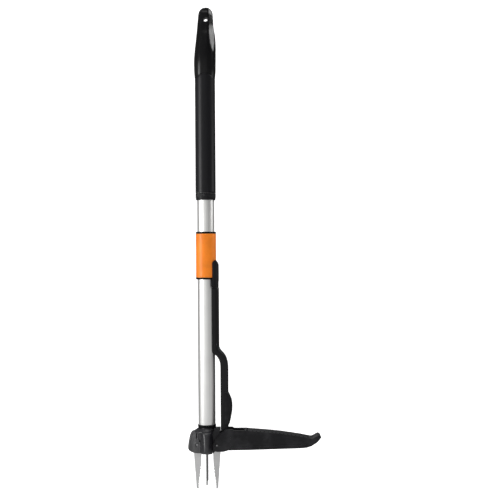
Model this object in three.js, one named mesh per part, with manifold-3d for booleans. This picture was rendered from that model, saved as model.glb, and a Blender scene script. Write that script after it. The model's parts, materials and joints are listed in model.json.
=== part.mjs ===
// Stand-up weeder: a long tube with a sliding handle, a foot pedal, and four claws
// that close round a root when the tube is leaned back on the pedal.
// Millimetres, +Z up the tube. The origin is on the tube's axis at turf level, at the
// centre of the ejector pad's flat underside. +X points from the tube to the pedal's toe.
// "Right" is +X, "left" -X, "front" -Y and "rear" +Y.

import * as THREE from 'three';
import { mergeVertices } from 'three/addons/utils/BufferGeometryUtils.js';
import Module from 'manifold-3d';

const wasm = await Module();
wasm.setup();

// ---------- shared dimensions; R is a radius, HALF a half width ----------
const ROUND_FACETS = 28;        // facets on the large round pieces
const CLEAR = 0.3;              // gap between neighbouring pieces
const PIN_CLEAR = 0.12;         // radial gap round the pins
const RAD = Math.PI / 180;

const TUBE_R = 17.5, TUBE_BORE_R = 15.5, TUBE_BOTTOM = 55, TUBE_TOP = 842;
const BOLT_Z = 75, BOLT_R = 2.4, BOLT_HOLE_R = 2.6;

const PIN_U = 20.4, PIN_Z = 18, PIN_R = 2.5;            // claw pins, U out from the axis
const PIVOT_X = 20.5, PIVOT_Z = 18, PIVOT_R = 2.6;      // pedal pivot and right claw's pin
const PEDAL_SWING = 35;         // degrees, toe up
const CLAW_SWING = 9.5;         // degrees, tips inward
const LINK_ARM = 16.5, LINK_ANGLE = 20;                 // pivot to link hole, below level
const LINK_R = 3, LINK_X = 36.5, LINK_SLACK = 0.9;
const LINK_Z = PIVOT_Z - LINK_ARM * Math.sin(LINK_ANGLE * RAD);
const TRAVEL = LINK_ARM
  * (Math.sin((PEDAL_SWING - LINK_ANGLE) * RAD) + Math.sin(LINK_ANGLE * RAD));

const CAM_U = 14, CAM_Z = 26, CAM_R = 2.0, CAM_GAP = 0.4;   // crosshead's pins in the claws
const CROSS_LENGTH_HALF = 16.9, CROSS_WIDTH_HALF = 4.3, CROSS_GAP = 0.5;

// ---------- geometry helpers ----------
// three.js geometry to a Manifold, dropping flat triangles and facing the rest outward
function solid(geometry) {
  const source = geometry.clone();
  for (const name of Object.keys(source.attributes)) {
    if (name !== 'position') source.deleteAttribute(name);
  }
  const merged = mergeVertices(source, 1e-4);
  const position = merged.attributes.position;
  const index = merged.index.array;
  const triangles = [];
  const corners = [0, 1, 2].map(() => new THREE.Vector3());
  let volume = 0;
  for (let i = 0; i < index.length; i += 3) {
    const ids = [index[i], index[i + 1], index[i + 2]];
    if (new Set(ids).size < 3) continue;
    triangles.push(...ids);
    corners.forEach((corner, k) => corner.fromBufferAttribute(position, ids[k]));
    volume += corners[0].dot(corners[1].cross(corners[2]));
  }
  if (volume < 0) {
    for (let i = 0; i < triangles.length; i += 3) {
      [triangles[i], triangles[i + 1]] = [triangles[i + 1], triangles[i]];
    }
  }
  return new wasm.Manifold(new wasm.Mesh({
    numProp: 3,
    vertProperties: new Float32Array(position.array),
    triVerts: new Uint32Array(triangles),
  }));
}

function toGeometry(body) {
  const mesh = body.getMesh();
  const indexed = new THREE.BufferGeometry();
  indexed.setAttribute('position', new THREE.BufferAttribute(mesh.vertProperties, 3));
  indexed.setIndex(new THREE.BufferAttribute(mesh.triVerts, 1));
  const flat = indexed.toNonIndexed();
  flat.computeVertexNormals();
  return flat;
}

function extrude(outline, depth) {
  const shape = new THREE.Shape(outline.map(([x, y]) => new THREE.Vector2(x, y)));
  return new THREE.ExtrudeGeometry(shape, { depth, bevelEnabled: false });
}
// outline in (x, z), thickness along Y
const plateXZ = (outline, y0, y1) =>
  solid(extrude(outline, y1 - y0).rotateX(Math.PI / 2).translate(0, y1, 0));
// outline in (y, z), thickness along X
const plateYZ = (outline, x0, x1) => solid(extrude(outline, x1 - x0)
  .applyMatrix4(new THREE.Matrix4().set(0, 0, 1, x0, 1, 0, 0, 0, 0, 1, 0, 0, 0, 0, 0, 1)));
// outline in (x, y), thickness along Z
const plateXY = (outline, z0, z1) => solid(extrude(outline, z1 - z0).translate(0, 0, z0));

// profile of (radius, z) turned round the Z axis; closed on itself or on the axis
function turned(profile) {
  const loop = profile[0][0] === 0 ? profile : [...profile, profile[0]];
  const points = loop.map(([r, z]) => new THREE.Vector2(r, z));
  return solid(new THREE.LatheGeometry(points, ROUND_FACETS).rotateX(Math.PI / 2));
}
const ring = (inner, outer, z0, z1) =>
  turned([[inner, z0], [outer, z0], [outer, z1], [inner, z1]]);

function rodX(radius, x0, x1, y, z, facets = 20) {
  const cylinder = new THREE.CylinderGeometry(radius, radius, x1 - x0, facets);
  return solid(cylinder.rotateZ(-Math.PI / 2).translate((x0 + x1) / 2, y, z));
}
function rodY(radius, y0, y1, x, z, facets = 20) {
  const cylinder = new THREE.CylinderGeometry(radius, radius, y1 - y0, facets);
  return solid(cylinder.translate(x, (y0 + y1) / 2, z));
}
// on the tube's axis
function rodZ(radius, z0, z1) {
  const cylinder = new THREE.CylinderGeometry(radius, radius, z1 - z0, ROUND_FACETS);
  return solid(cylinder.rotateX(Math.PI / 2).translate(0, 0, (z0 + z1) / 2));
}
function block(x0, x1, y0, y1, z0, z1) {
  const box = new THREE.BoxGeometry(x1 - x0, y1 - y0, z1 - z0);
  return solid(box.translate((x0 + x1) / 2, (y0 + y1) / 2, (z0 + z1) / 2));
}
const join = (...parts) => parts.reduce((sum, part) => sum.add(part));
const cut = (body, ...tools) => tools.reduce((rest, tool) => rest.subtract(tool), body);

// two bars crossing on the tube's axis
const crossPrism = (length, width, z0, z1) => join(
  block(-length, length, -width, width, z0, z1),
  block(-width, width, -length, length, z0, z1));

// mirror images of an outline in its first or second column, run backwards
const mirrorFirst = (points) => points.map(([u, v]) => [-u, v]).reverse();
const mirrorSecond = (points) => points.map(([u, v]) => [u, -v]).reverse();
const bothFirst = (points) => [...points, ...mirrorFirst(points)];
const bothSecond = (points) => [...points, ...mirrorSecond(points)];

// linear look-up in rows of [position, value], positions ascending
function lookUp(table, at) {
  const i = table.findIndex(([position], row) => row > 0 && at <= position);
  const [p0, v0] = table[i - 1];
  const [p1, v1] = table[i];
  return v0 + (v1 - v0) * (at - p0) / (p1 - p0);
}

// screw along X with its cross-recessed head towards +X
function screwX({ z, shankR, from, headR, headFrom, headTo, recessFrom,
  recessHalfZ = 2, facets = 12 }) {
  const end = headTo + 1;
  return cut(
    join(rodX(shankR, from, headFrom + 0.5, 0, z, facets),
      rodX(headR, headFrom, headTo, 0, z, 16)),
    block(recessFrom, end, -0.5, 0.5, z - recessHalfZ, z + recessHalfZ),
    block(recessFrom, end, -2, 2, z - 0.5, z + 0.5));
}

const finish = {
  tube: { color: 0xc9ccd0, roughness: 0.35, metalness: 0.9 },
  black: { color: 0x1a1b1d, roughness: 0.55, metalness: 0 },
  rubber: { color: 0x17181b, roughness: 0.8, metalness: 0 },
  orange: { color: 0xf08a1e, roughness: 0.45, metalness: 0 },
  steel: { color: 0xb9bcc0, roughness: 0.3, metalness: 1 },
  liner: { color: 0xd8d8d4, roughness: 0.5, metalness: 0 },
  gloss: { color: 0x151618, roughness: 0.3, metalness: 0 },
};
const weeder = new THREE.Group();
function piece(name, body, look) {
  const mesh = new THREE.Mesh(toGeometry(body), new THREE.MeshStandardMaterial(look));
  mesh.name = name;
  weeder.add(mesh);
}

// ---------- main tube ----------
piece('shaft_tube', cut(ring(TUBE_BORE_R, TUBE_R, TUBE_BOTTOM, TUBE_TOP),
  rodX(BOLT_HOLE_R, -20, 20, 0, BOLT_Z)), finish.tube);
piece('tube_top_bush', turned([[0, 822], [15.2, 822], [15.2, TUBE_TOP + CLEAR],
  [17.75, TUBE_TOP + CLEAR], [17.75, 846], [0, 846]]), finish.liner);
piece('tube_base_ring', turned([[15.3, 53.2], [17.8, 53.2], [18.7, 54.1], [18.7, 58.8],
  [17.75, 58.8], [17.75, 54.7], [15.3, 54.7]]), finish.black);
piece('tube_cross_bolt', rodX(BOLT_R, -17.2, 17.2, 0, BOLT_Z), finish.steel);

// ---------- head: two half shells round the claws ----------
const LOBE_HALF = 11, ROOF_Z = 43, HEAD_BOTTOM = 1.0, LOBE_TOP = 46.4, NECK_R = 15.0;
const SLOT_HALF = 2;            // claw slots

// side view of the lobes: [out from the axis, z]
const LOBE_SIDE = bothFirst([[27.5, HEAD_BOTTOM], [33, 2.6], [36.8, 4.8], [39.3, 9],
  [39.3, 12], [36.5, 31.3], [34.5, 39.1], [32.6, 43.4], [30, 45.6], [26, LOBE_TOP]]);
// plan [x, y]: blunt noses over the claws, with flanks that widen towards the axis;
// on the pedal's side it is cut back to clear the pedal's cheeks
const HEAD_PLAN = [[-41, 0], ...bothSecond([
  [-41, -4.9], [-33, -6.6], [-22, -11], [-15, -13.4], [-13.4, -15], [-11, -22],
  [-6.6, -33], [-4.9, -41], [0, -41], [4.9, -41], [6.6, -33], [10, -22],
  [11.2, -14], [11.2, -11], [14, -11]])];
// block on the pedal's side: [x, z]
const PIVOT_BLOCK = [[0, HEAD_BOTTOM], [10, HEAD_BOTTOM], [16, 3.2], [22, 5.6], [26, 8.4],
  [27.5, 12], [27.5, 51.5], [26.7, 52.3], [0, 52.3]];
// slot for a claw: [out from the axis, z]
const CLAW_SLOT = [[0, -1], [28.6, -1], [28.6, 22], [23, 28], [23, ROOF_Z], [0, ROOF_Z]];
// shell screws go in from the rear: the shank starts at tipY, the head seats at seatY
const SHELL_SCREWS = [
  { tag: 'left', x: -26.5, z: 38, tipY: -6, seatY: 6.0 },
  { tag: 'right', x: 21.5, z: 46.6, tipY: -9, seatY: 8.6 },
  { tag: 'lower', x: -33.4, z: 12, tipY: -3.4, seatY: 3.6 },
];

function headOuter() {
  const lobes = plateXY(HEAD_PLAN, 0, LOBE_TOP)
    .intersect(plateXZ(LOBE_SIDE, -45, 45))
    .intersect(plateYZ(LOBE_SIDE, -45, 45));
  const dome = turned([[0, 44], [26.5, 46.1], [19.6, 51.4], [0, 51.4]])
    .intersect(block(-30, 8, -30, 30, 40, 60));
  const shoulders = join(lobes, plateXZ(PIVOT_BLOCK, -LOBE_HALF, LOBE_HALF), dome);
  // a groove round the foot of the neck
  return join(cut(shoulders, ring(NECK_R - 0.2, 18.1, 45.9, 53)), rodZ(NECK_R, 44, 96));
}

function headBody() {
  let head = cut(headOuter(),
    // hollow for the crosshead
    crossPrism(CROSS_LENGTH_HALF + CROSS_GAP, CROSS_WIDTH_HALF + CROSS_GAP, -1, ROOF_Z),
    // left, rear and front claw slots
    plateXZ(mirrorFirst(CLAW_SLOT), -SLOT_HALF, SLOT_HALF),
    plateYZ(CLAW_SLOT, -SLOT_HALF, SLOT_HALF),
    plateYZ(mirrorFirst(CLAW_SLOT), -SLOT_HALF, SLOT_HALF),
    // right claw slot, with room above it for the crosshead's arm and end plate
    block(0, 30, -SLOT_HALF, SLOT_HALF, -1, 24),
    block(0, 30, -4.8, 4.8, 21.6, ROOF_Z),
    block(25.6, 30, -7.6, 7.6, 21.6, ROOF_Z),
    // recess for the ejector pad
    rodZ(9, -1, 13.8),
    // claw pins, pedal pivot and tube bolt
    rodY(PIN_R + PIN_CLEAR, -15, 15, -PIN_U, PIN_Z),
    rodY(PIVOT_R + PIN_CLEAR, -15, 15, PIVOT_X, PIVOT_Z),
    rodX(PIN_R + PIN_CLEAR, -15, 15, -PIN_U, PIN_Z),
    rodX(PIN_R + PIN_CLEAR, -15, 15, PIN_U, PIN_Z),
    rodX(BOLT_HOLE_R, -16, 16, 0, BOLT_Z));
  for (const { x, z, tipY, seatY } of SHELL_SCREWS) {
    head = cut(head, rodY(1.65, tipY - 0.5, 14, x, z, 12), rodY(2.75, seatY - 0.1, 14, x, z, 16));
  }
  return head;
}

function shellScrew({ x, z, tipY, seatY }) {
  const recessY = seatY + 0.8;
  const end = seatY + 3;
  return cut(
    join(rodY(1.5, tipY, seatY + 0.4, x, z, 12), rodY(2.5, seatY, seatY + 1.7, x, z, 16)),
    block(x - 0.4, x + 0.4, recessY, end, z - 1.6, z + 1.6),
    block(x - 1.6, x + 1.6, recessY, end, z - 0.4, z + 0.4));
}

const head = headBody();
piece('head_shell_front', head.intersect(block(-60, 60, -60, -CLEAR / 2, -10, 120)), finish.black);
piece('head_shell_rear', head.intersect(block(-60, 60, CLEAR / 2, 60, -10, 120)), finish.black);
piece('head_neck_ring', turned([[15.3, 46.2], [17.8, 46.2], [17.8, 48.8], [16.2, 50.6],
  [15.3, 50.6]]), finish.black);
for (const screw of SHELL_SCREWS) piece('head_screw_' + screw.tag, shellScrew(screw), finish.steel);
piece('claw_pin_left', rodY(PIN_R, -10.5, 10.5, -PIN_U, PIN_Z), finish.steel);
piece('claw_pin_front', rodX(PIN_R, -10.5, 9.7, -PIN_U, PIN_Z), finish.steel);
piece('claw_pin_rear', rodX(PIN_R, -10.5, 9.7, PIN_U, PIN_Z), finish.steel);
piece('pedal_pivot_pin', join(rodY(PIVOT_R, -21.3, 22, PIVOT_X, PIVOT_Z),
  rodY(4.6, 21.8, 23.2, PIVOT_X, PIVOT_Z)), finish.steel);

// ---------- claws: four flat plates, each on its own pin ----------
const CLAW_HALF = 1.4;          // half the plate's thickness
const LONG_TIP_Z = -73.3, SHORT_TIP_Z = -62.5;
const BLADE_TOP_Z = -27;        // the toothed edge starts here
// body of the claw, up the outer edge and down the inner: [out from the axis, z]
const CLAW_BODY = [
  [27.5, 0], [27.8, 10], [26.8, 16], [24.5, 21.2], [20.5, 25], [19, 27], [16.4, 36],
  [13.5, 39.3], [9, 39.3], [6.6, 36], [7.6, 30], [9.2, 23], [10.8, 14], [11.8, 0],
  [12.4, -14], [12.9, BLADE_TOP_Z]];
// inner edge of a long blade: [z, out from the axis]
const BLADE_INNER = [[LONG_TIP_Z, 17.8], [-60, 16.8], [-46, 14.6], [BLADE_TOP_Z, 12.9]];
const TOOTH_Z = [-32, -39.2, -46.5, -53.7, -59.9, -66.1];   // on a long blade

function clawOutline(tipZ) {
  const outer = (z) => 27.5 - 5.5 * z / LONG_TIP_Z;
  const inner = (z) => lookUp(BLADE_INNER, z);
  const shortening = tipZ - LONG_TIP_Z;        // taken up evenly along the teeth
  const toothSpan = TOOTH_Z.at(-1) - BLADE_TOP_Z;
  const teeth = TOOTH_Z.flatMap((longZ) => {
    const z = longZ + shortening * (longZ - BLADE_TOP_Z) / toothSpan;
    return [[inner(longZ) + 1.5, z + 0.9], [inner(longZ), z]];
  });
  return [
    [outer(tipZ) - 0.6, tipZ], [outer(tipZ + 3), tipZ + 3], [outer(-30), -30],
    ...CLAW_BODY, ...teeth,
    [inner(-68) + 1.3, tipZ + 5], [outer(tipZ) - 4.2, tipZ + 0.6]];
}

// path of the crosshead's pin in the claw's own frame, so that the claw turns in step with it
const camPath = [0, 0.5, 1].map((t) => {
  const angle = CLAW_SWING * t * RAD;
  const du = CAM_U - PIN_U;
  const dz = CAM_Z + TRAVEL * t - PIN_Z;
  return [PIN_U + du * Math.cos(angle) - dz * Math.sin(angle),
    PIN_Z + du * Math.sin(angle) + dz * Math.cos(angle)];
});

// made on the +X side, then turned about Z to its place
function claw({ tipZ, turn, pinU = PIN_U, pinR = PIN_R }) {
  const slotR = CAM_R + CAM_GAP;
  let body = cut(plateXZ(clawOutline(tipZ), -CLAW_HALF, CLAW_HALF),
    rodY(pinR + PIN_CLEAR, -5, 5, pinU, PIN_Z, 16));
  for (const [x, z] of camPath) body = cut(body, rodY(slotR, -5, 5, x, z, 14));
  for (let i = 1; i < camPath.length; i++) {
    const [x0, z0] = camPath[i - 1];
    const [x1, z1] = camPath[i];
    const scale = slotR * 0.985 / Math.hypot(x1 - x0, z1 - z0);   // just inside the facets
    const sideX = -(z1 - z0) * scale;
    const sideZ = (x1 - x0) * scale;
    body = cut(body, plateXZ([[x0 - sideX, z0 - sideZ], [x1 - sideX, z1 - sideZ],
      [x1 + sideX, z1 + sideZ], [x0 + sideX, z0 + sideZ]], -5, 5));
  }
  return body.rotate([0, 0, turn]);
}
piece('claw_left', claw({ tipZ: LONG_TIP_Z, turn: 180 }), finish.steel);
piece('claw_right', claw({ tipZ: LONG_TIP_Z, turn: 0, pinU: PIVOT_X, pinR: PIVOT_R }),
  finish.steel);
piece('claw_front', claw({ tipZ: SHORT_TIP_Z, turn: -90 }), finish.steel);
piece('claw_rear', claw({ tipZ: SHORT_TIP_Z, turn: 90 }), finish.steel);

// ---------- ejector: collar, bar, crosshead and pad move as one ----------
const COLLAR_BOTTOM = 357.4, COLLAR_TOP = 455.0, COLLAR_R = 20.9, COLLAR_BORE_R = 18.9;
const RING_HEIGHT = 3.6;
const BAR_IN = 28.3, BAR_OUT = 44.4, BAR_HALF = 8, SADDLE_R = 17.9;
const LUG_SCREW_Z = 372, PAD_SCREW_Z = 91, CROSS_SCREW_Z = 26.2;

const lugScrewHole = rodX(1.8, 15, 30, 0, LUG_SCREW_Z, 12);
piece('eject_collar', cut(ring(COLLAR_BORE_R, COLLAR_R, COLLAR_BOTTOM + RING_HEIGHT + CLEAR,
  COLLAR_TOP - RING_HEIGHT - CLEAR), lugScrewHole), finish.orange);
piece('collar_ring_top',
  ring(COLLAR_BORE_R, COLLAR_R, COLLAR_TOP - RING_HEIGHT, COLLAR_TOP), finish.black);
piece('collar_ring_bottom',
  ring(COLLAR_BORE_R, COLLAR_R, COLLAR_BOTTOM, COLLAR_BOTTOM + RING_HEIGHT), finish.black);
piece('collar_liner', ring(17.8, 18.6, COLLAR_BOTTOM + 1, COLLAR_TOP - 1), finish.liner);

// lug: plan [x, y] and side view [x, z]
const LUG_PLAN = bothSecond([[9, -17.2], [16, -16.4], [22, -12.5], [25.4, -7.5], [26.1, -3]]);
const LUG_SIDE = [[11.2, 345], [12.5, 340.6], [25.4, 340.6], [25.4, 352], [26.1, 355],
  [26.1, 386], [24.5, 391.5], [19.2, 398], [14, 393], [11.2, 386]];
piece('bar_lug', cut(plateXY(LUG_PLAN, 340.6, 399).intersect(plateXZ(LUG_SIDE, -20, 20)),
  rodZ(SADDLE_R, 330, COLLAR_BOTTOM), rodZ(COLLAR_R + CLEAR, COLLAR_BOTTOM - CLEAR, 410),
  lugScrewHole, rodX(3.3, 23.6, 30, 0, LUG_SCREW_Z, 16)), finish.black);
piece('lug_screw', screwX({ z: LUG_SCREW_Z, shankR: 1.6, from: 19.1,
  headR: 3.0, headFrom: 24.0, headTo: 25.7, recessFrom: 25.0 }), finish.steel);

// bar: side view [x, z], width in front view [y, z], plan of the upper part [x, y]
const BAR_SIDE = [
  [BAR_IN, 9.5], [31, 6.9], [39.5, 6.9], [41.2, 9], [41.2, 46], [BAR_OUT, 51],
  [BAR_OUT, 173.5], [43.9, 183], [42.6, 190], [40.0, 198.2], [37.6, 202.4], [34.3, 206.5],
  [30.8, 210.6], [27.6, 214.8], [26.1, 218], [26.1, 340.3], [11.2, 340.3], [11.2, 206],
  [18.1, 202.4], [22.2, 198.2], [24.7, 194.1], [26.5, 190], [27.9, 183.8], [BAR_IN, 173.5]];
const BAR_WIDTH = bothFirst([[BAR_HALF, 0], [BAR_HALF, 176], [11, 196], [14, 214], [14, 345]]);
const BAR_UPPER_PLAN = bothSecond([[9, -14.2], [14, -14.0], [20, -12.2], [24.6, -8], [26.2, -3]]);
function ejectBar() {
  const blank = plateXZ(BAR_SIDE, -15, 15).intersect(plateYZ(BAR_WIDTH, 0, 60));
  return cut(
    join(blank.intersect(block(0, 60, -20, 20, 0, 216)),
      blank.intersect(plateXY(BAR_UPPER_PLAN, 215, 345))),
    rodZ(SADDLE_R, 150, 350),
    rodY(LINK_R + PIN_CLEAR, -15, 15, LINK_X, LINK_Z),
    rodX(2.2, 20, 45, 0, CROSS_SCREW_Z, 16),
    rodX(1.95, 37.5, 50, 0, PAD_SCREW_Z, 12));
}
piece('eject_bar', ejectBar(), finish.black);

// rubber pad over the bar: side view [x, z] and plan [x, y]
const PAD_IN = 36.6, PAD_HALF = 10.5, PAD_FIT = 0.25;
const PAD_SIDE = [
  [PAD_IN, 57.5], [45.5, 57.8], [48.1, 66], [49.8, 74.3], [51.4, 82.6], [52.5, 91],
  [52.6, 97], [52.2, 104], [50.8, 111.5], [48.3, 117.7], [45.9, 123.9], [PAD_IN, 125]];
const PAD_PLAN = bothSecond([[PAD_IN, -PAD_HALF], [48.4, -PAD_HALF], [51.4, -8.2], [52.7, -4]]);
piece('bar_pad', cut(plateXZ(PAD_SIDE, -12, 12).intersect(plateXY(PAD_PLAN, 50, 130)),
  block(30, BAR_OUT + PAD_FIT, -BAR_HALF - PAD_FIT, BAR_HALF + PAD_FIT, 40, 140),
  rodX(1.95, 40, 60, 0, PAD_SCREW_Z, 12),
  rodX(3.5, 49.4, 60, 0, PAD_SCREW_Z, 16)), finish.rubber);
piece('pad_screw', screwX({ z: PAD_SCREW_Z, shankR: 1.7, from: 38,
  headR: 3.2, headFrom: 49.7, headTo: 51.6, recessFrom: 50.7 }), finish.steel);

// four slotted arms, the right one running out to an end plate; a pin crosses each slot
function crosshead() {
  const slot = 1.8;
  const arms = join(crossPrism(CROSS_LENGTH_HALF, CROSS_WIDTH_HALF, 22, 30),
    block(10, 26.2, -CROSS_WIDTH_HALF, CROSS_WIDTH_HALF, 22.5, 30),
    block(26.0, 27.9, -7, 7, 22.5, 30));
  let body = cut(arms,
    block(-20, -5, -slot, slot, 20, 32), block(5, 26.0, -slot, slot, 20, 32),
    block(-slot, slot, -20, -5, 20, 32), block(-slot, slot, 5, 20, 20, 32),
    rodX(2.2, 25, 30, 0, CROSS_SCREW_Z, 16));
  for (const camU of [CAM_U, -CAM_U]) {
    body = join(body, rodY(CAM_R, -4, 4, camU, CAM_Z, 12), rodX(CAM_R, -4, 4, camU, CAM_Z, 12));
  }
  return body;
}
piece('crosshead', crosshead(), finish.steel);
piece('crosshead_screw', screwX({ z: CROSS_SCREW_Z, shankR: 1.9, from: 26.4, headR: 3.4,
  headFrom: 41.5, headTo: 43.9, recessFrom: 43.0, recessHalfZ: 2.2, facets: 14 }), finish.steel);
piece('ejector_pad', turned([[0, 0], [7.6, 0], [8.3, 0.8], [8.3, 3], [3.8, 4.2],
  [3.8, 21.7], [0, 21.7]]), finish.black);
piece('link_pin', rodY(LINK_R, -18.5, 18.5, LINK_X, LINK_Z), finish.steel);

// ---------- foot pedal ----------
const PEDAL_HALF = 21.5, CHANNEL_HALF = 11.5, CHANNEL_X = 77;
const BOSS_R = 8.5, BUSH_R = 5.05, BUSH_BORE_R = 5.2, BUSH_END = 19.7;
const TREAD_X0 = 84, TREAD_X1 = 206, TREAD_DEPTH = 1.7, TREAD_HALF = 17.6;

// top of the deck: [x, z]
const DECK_TOP = [[55, 48], [80, 48], [90, 47], [110, 45.4], [131, 43.6], [151, 41.4],
  [172, 38.3], [193, 35.1], [204, 32.8], [213, 30.8]];
const topAt = (x) => lookUp(DECK_TOP, x);
// side view [x, z], with part of the pivot boss on the heel
const PEDAL_SIDE = [
  [38, 6.2], [33, 5.2], [20, 5.2], [14.8, 8.2], [12.4, 13],
  ...[-180, -202, -215].map((angle) => [
    PIVOT_X + BOSS_R * Math.cos(angle * RAD), PIVOT_Z + BOSS_R * Math.sin(angle * RAD)]),
  [27.3, 42.5], [34, 46], [38, 50.4], [52.5, 50.4], ...DECK_TOP,
  [217, 31], [228, 37.2], [231.2, 36.6], [234.2, 34], [230.6, 28.6], [225, 22.6],
  [214, 15.8], [204, 12.6], [193, 11.5], [90, 8.7], [43, 8]];
// underside pockets between the ribs: [from, to] along X, then along Y
const POCKETS_X = [[80.5, 99.5], [102, 124], [126.5, 149], [151.5, 174], [176.5, 198]];
const POCKETS_Y = [[-18, -1.3], [1.3, 18]];
// [x, z] along the tread, its ends drawn in by inset, at a height offset from the deck
const treadLine = (inset, offset) =>
  [TREAD_X0 + inset, 90, 110, 131, 151, 172, 193, TREAD_X1 - inset]
    .map((x) => [x, topAt(x) + offset]);

function footPedal() {
  const linkHoleX = PIVOT_X + LINK_ARM * Math.cos(LINK_ANGLE * RAD);
  let pedal = cut(plateXZ(PEDAL_SIDE, -PEDAL_HALF, PEDAL_HALF),
    block(0, CHANNEL_X, -CHANNEL_HALF, CHANNEL_HALF, 0, 60),
    rodY(BUSH_BORE_R, -BUSH_END, BUSH_END, PIVOT_X, PIVOT_Z, 24),
    rodY(PIVOT_R + PIN_CLEAR, -30, 30, PIVOT_X, PIVOT_Z),
    rodY(LINK_R + LINK_SLACK, -19, 19, linkHoleX, LINK_Z, 24));
  for (const [x0, x1] of POCKETS_X) {
    const outline = [[x0, 0], [x1, 0], [x1, topAt(x1) - 4.4], [x0, topAt(x0) - 4.4]];
    for (const [y0, y1] of POCKETS_Y) pedal = cut(pedal, plateXZ(outline, y0, y1));
  }
  const seat = [...treadLine(0, -TREAD_DEPTH), [TREAD_X1, 60], [TREAD_X0, 60]];
  return cut(pedal, plateXZ(seat, -TREAD_HALF, TREAD_HALF));
}

function pedalTread() {
  const half = TREAD_HALF - CLEAR;
  const sheet = [...treadLine(CLEAR, CLEAR - TREAD_DEPTH), ...treadLine(CLEAR, -0.2).reverse()];
  let tread = plateXZ(sheet, -half, half);
  for (let ribX = 92; ribX < 202; ribX += 8) {
    const rib = [[0, -0.8], [3, -0.8], [2.4, 0.7], [0.6, 0.7]]
      .map(([dx, dz]) => [ribX + dx, topAt(ribX + dx) + dz]);
    tread = join(tread, plateXZ(rib, -15.5, 15.5));
  }
  return tread;
}

const pedalBush = (y0, y1) => cut(rodY(BUSH_R, y0, y1, PIVOT_X, PIVOT_Z, 24),
  rodY(PIVOT_R + PIN_CLEAR, -22, 22, PIVOT_X, PIVOT_Z));
piece('foot_pedal', footPedal(), finish.black);
piece('pedal_tread', pedalTread(), finish.rubber);
piece('pedal_bush_front', pedalBush(CLEAR - BUSH_END, -11.6), finish.liner);
piece('pedal_bush_rear', pedalBush(11.6, BUSH_END - CLEAR), finish.liner);

// ---------- sliding handle ----------
const GRIP_R = 20.8, GRIP_BORE_R = 19.1, GRIP_BOTTOM = 534.6, GRIP_TOP = 769.7;
const CORE_BORE_R = 18.0, CORE_R = 18.9, CORE_BOTTOM = 545.3, CORE_TOP = 790;
const LOCK_BOTTOM = 520.3, LOCK_TOP = 534.2, LOCK_BORE_R = 18.9;
const EDGE_R = GRIP_R - 0.4;    // chamfered ends

piece('grip_core', ring(CORE_BORE_R, CORE_R, CORE_BOTTOM, CORE_TOP), finish.black);
piece('grip_sleeve', turned([[GRIP_BORE_R, GRIP_BOTTOM], [EDGE_R, GRIP_BOTTOM],
  [GRIP_R, GRIP_BOTTOM + 0.8], [GRIP_R, GRIP_TOP - 0.8], [EDGE_R, GRIP_TOP],
  [GRIP_BORE_R, GRIP_TOP]]), finish.rubber);
// split by four slots from its lower end
piece('lock_collet', cut(ring(17.65, 18.6, 524, 545), crossPrism(25, 0.6, 523, 540)),
  finish.liner);
piece('lock_ring', turned([[LOCK_BORE_R, LOCK_BOTTOM], [19.8, LOCK_BOTTOM], [20.6, 525],
  [GRIP_R, 528], [GRIP_R, LOCK_TOP - 0.5], [EDGE_R, LOCK_TOP], [LOCK_BORE_R, LOCK_TOP]]),
finish.black);

// ---------- end cap ----------
const CAP_BOTTOM = 770, CAP_TOP = 917, CAP_LEAN = 2.2, CAP_FLAT_Y = 12;
const HANG_Z = 891, HANG_R = 4.3, HANG_RIM_R = 6.2;
// turned profile: [radius, z]
const CAP_PROFILE = [
  [0, CAP_BOTTOM], [20.9, CAP_BOTTOM], [22.2, 787], [22.5, 806], [21.9, 826], [20.2, 851],
  [17.8, 875.6], [16.7, 888], [15, 901], [12.2, 909], [8.6, 914], [4.6, 916.4], [0, CAP_TOP]];
// flattening towards the top: [y, z]
const CAP_FLATS = bothFirst([
  [26, CAP_BOTTOM - 1], [26, 838], [20.4, 846], [16.6, 860], [13.4, 872], [CAP_FLAT_Y, 880],
  [CAP_FLAT_Y, 902], [10.4, 909.5], [7, CAP_TOP], [6, CAP_TOP + 1]]);

// shifts the upper part smoothly towards +X, from z = 800 to 860
function lean(body) {
  const geometry = toGeometry(body);
  const position = geometry.attributes.position;
  for (let i = 0; i < position.count; i++) {
    const t = Math.min(1, Math.max(0, (position.getZ(i) - 800) / 60));
    position.setX(i, position.getX(i) + CAP_LEAN * t * t * (3 - 2 * t));
  }
  return solid(geometry);
}
// countersink of the hanging hole, on the rear (1) or front (-1)
function hangRim(side) {
  const [top, bottom] = side > 0 ? [HANG_RIM_R, HANG_R] : [HANG_R, HANG_RIM_R];
  const cone = new THREE.CylinderGeometry(top, bottom, 3, 24);
  return solid(cone.translate(CAP_LEAN, side * (CAP_FLAT_Y - 1.45), HANG_Z));
}
// the bore is cut after leaning, so it stays true to the tube
piece('end_cap', cut(lean(turned(CAP_PROFILE).intersect(plateYZ(CAP_FLATS, -30, 30))),
  rodZ(CORE_R + 0.2, 760, CORE_TOP + 0.4), rodZ(18.0, 760, 850),
  rodY(HANG_R, -30, 30, CAP_LEAN, HANG_Z, 24), hangRim(1), hangRim(-1)), finish.gloss);

export default weeder;
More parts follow.
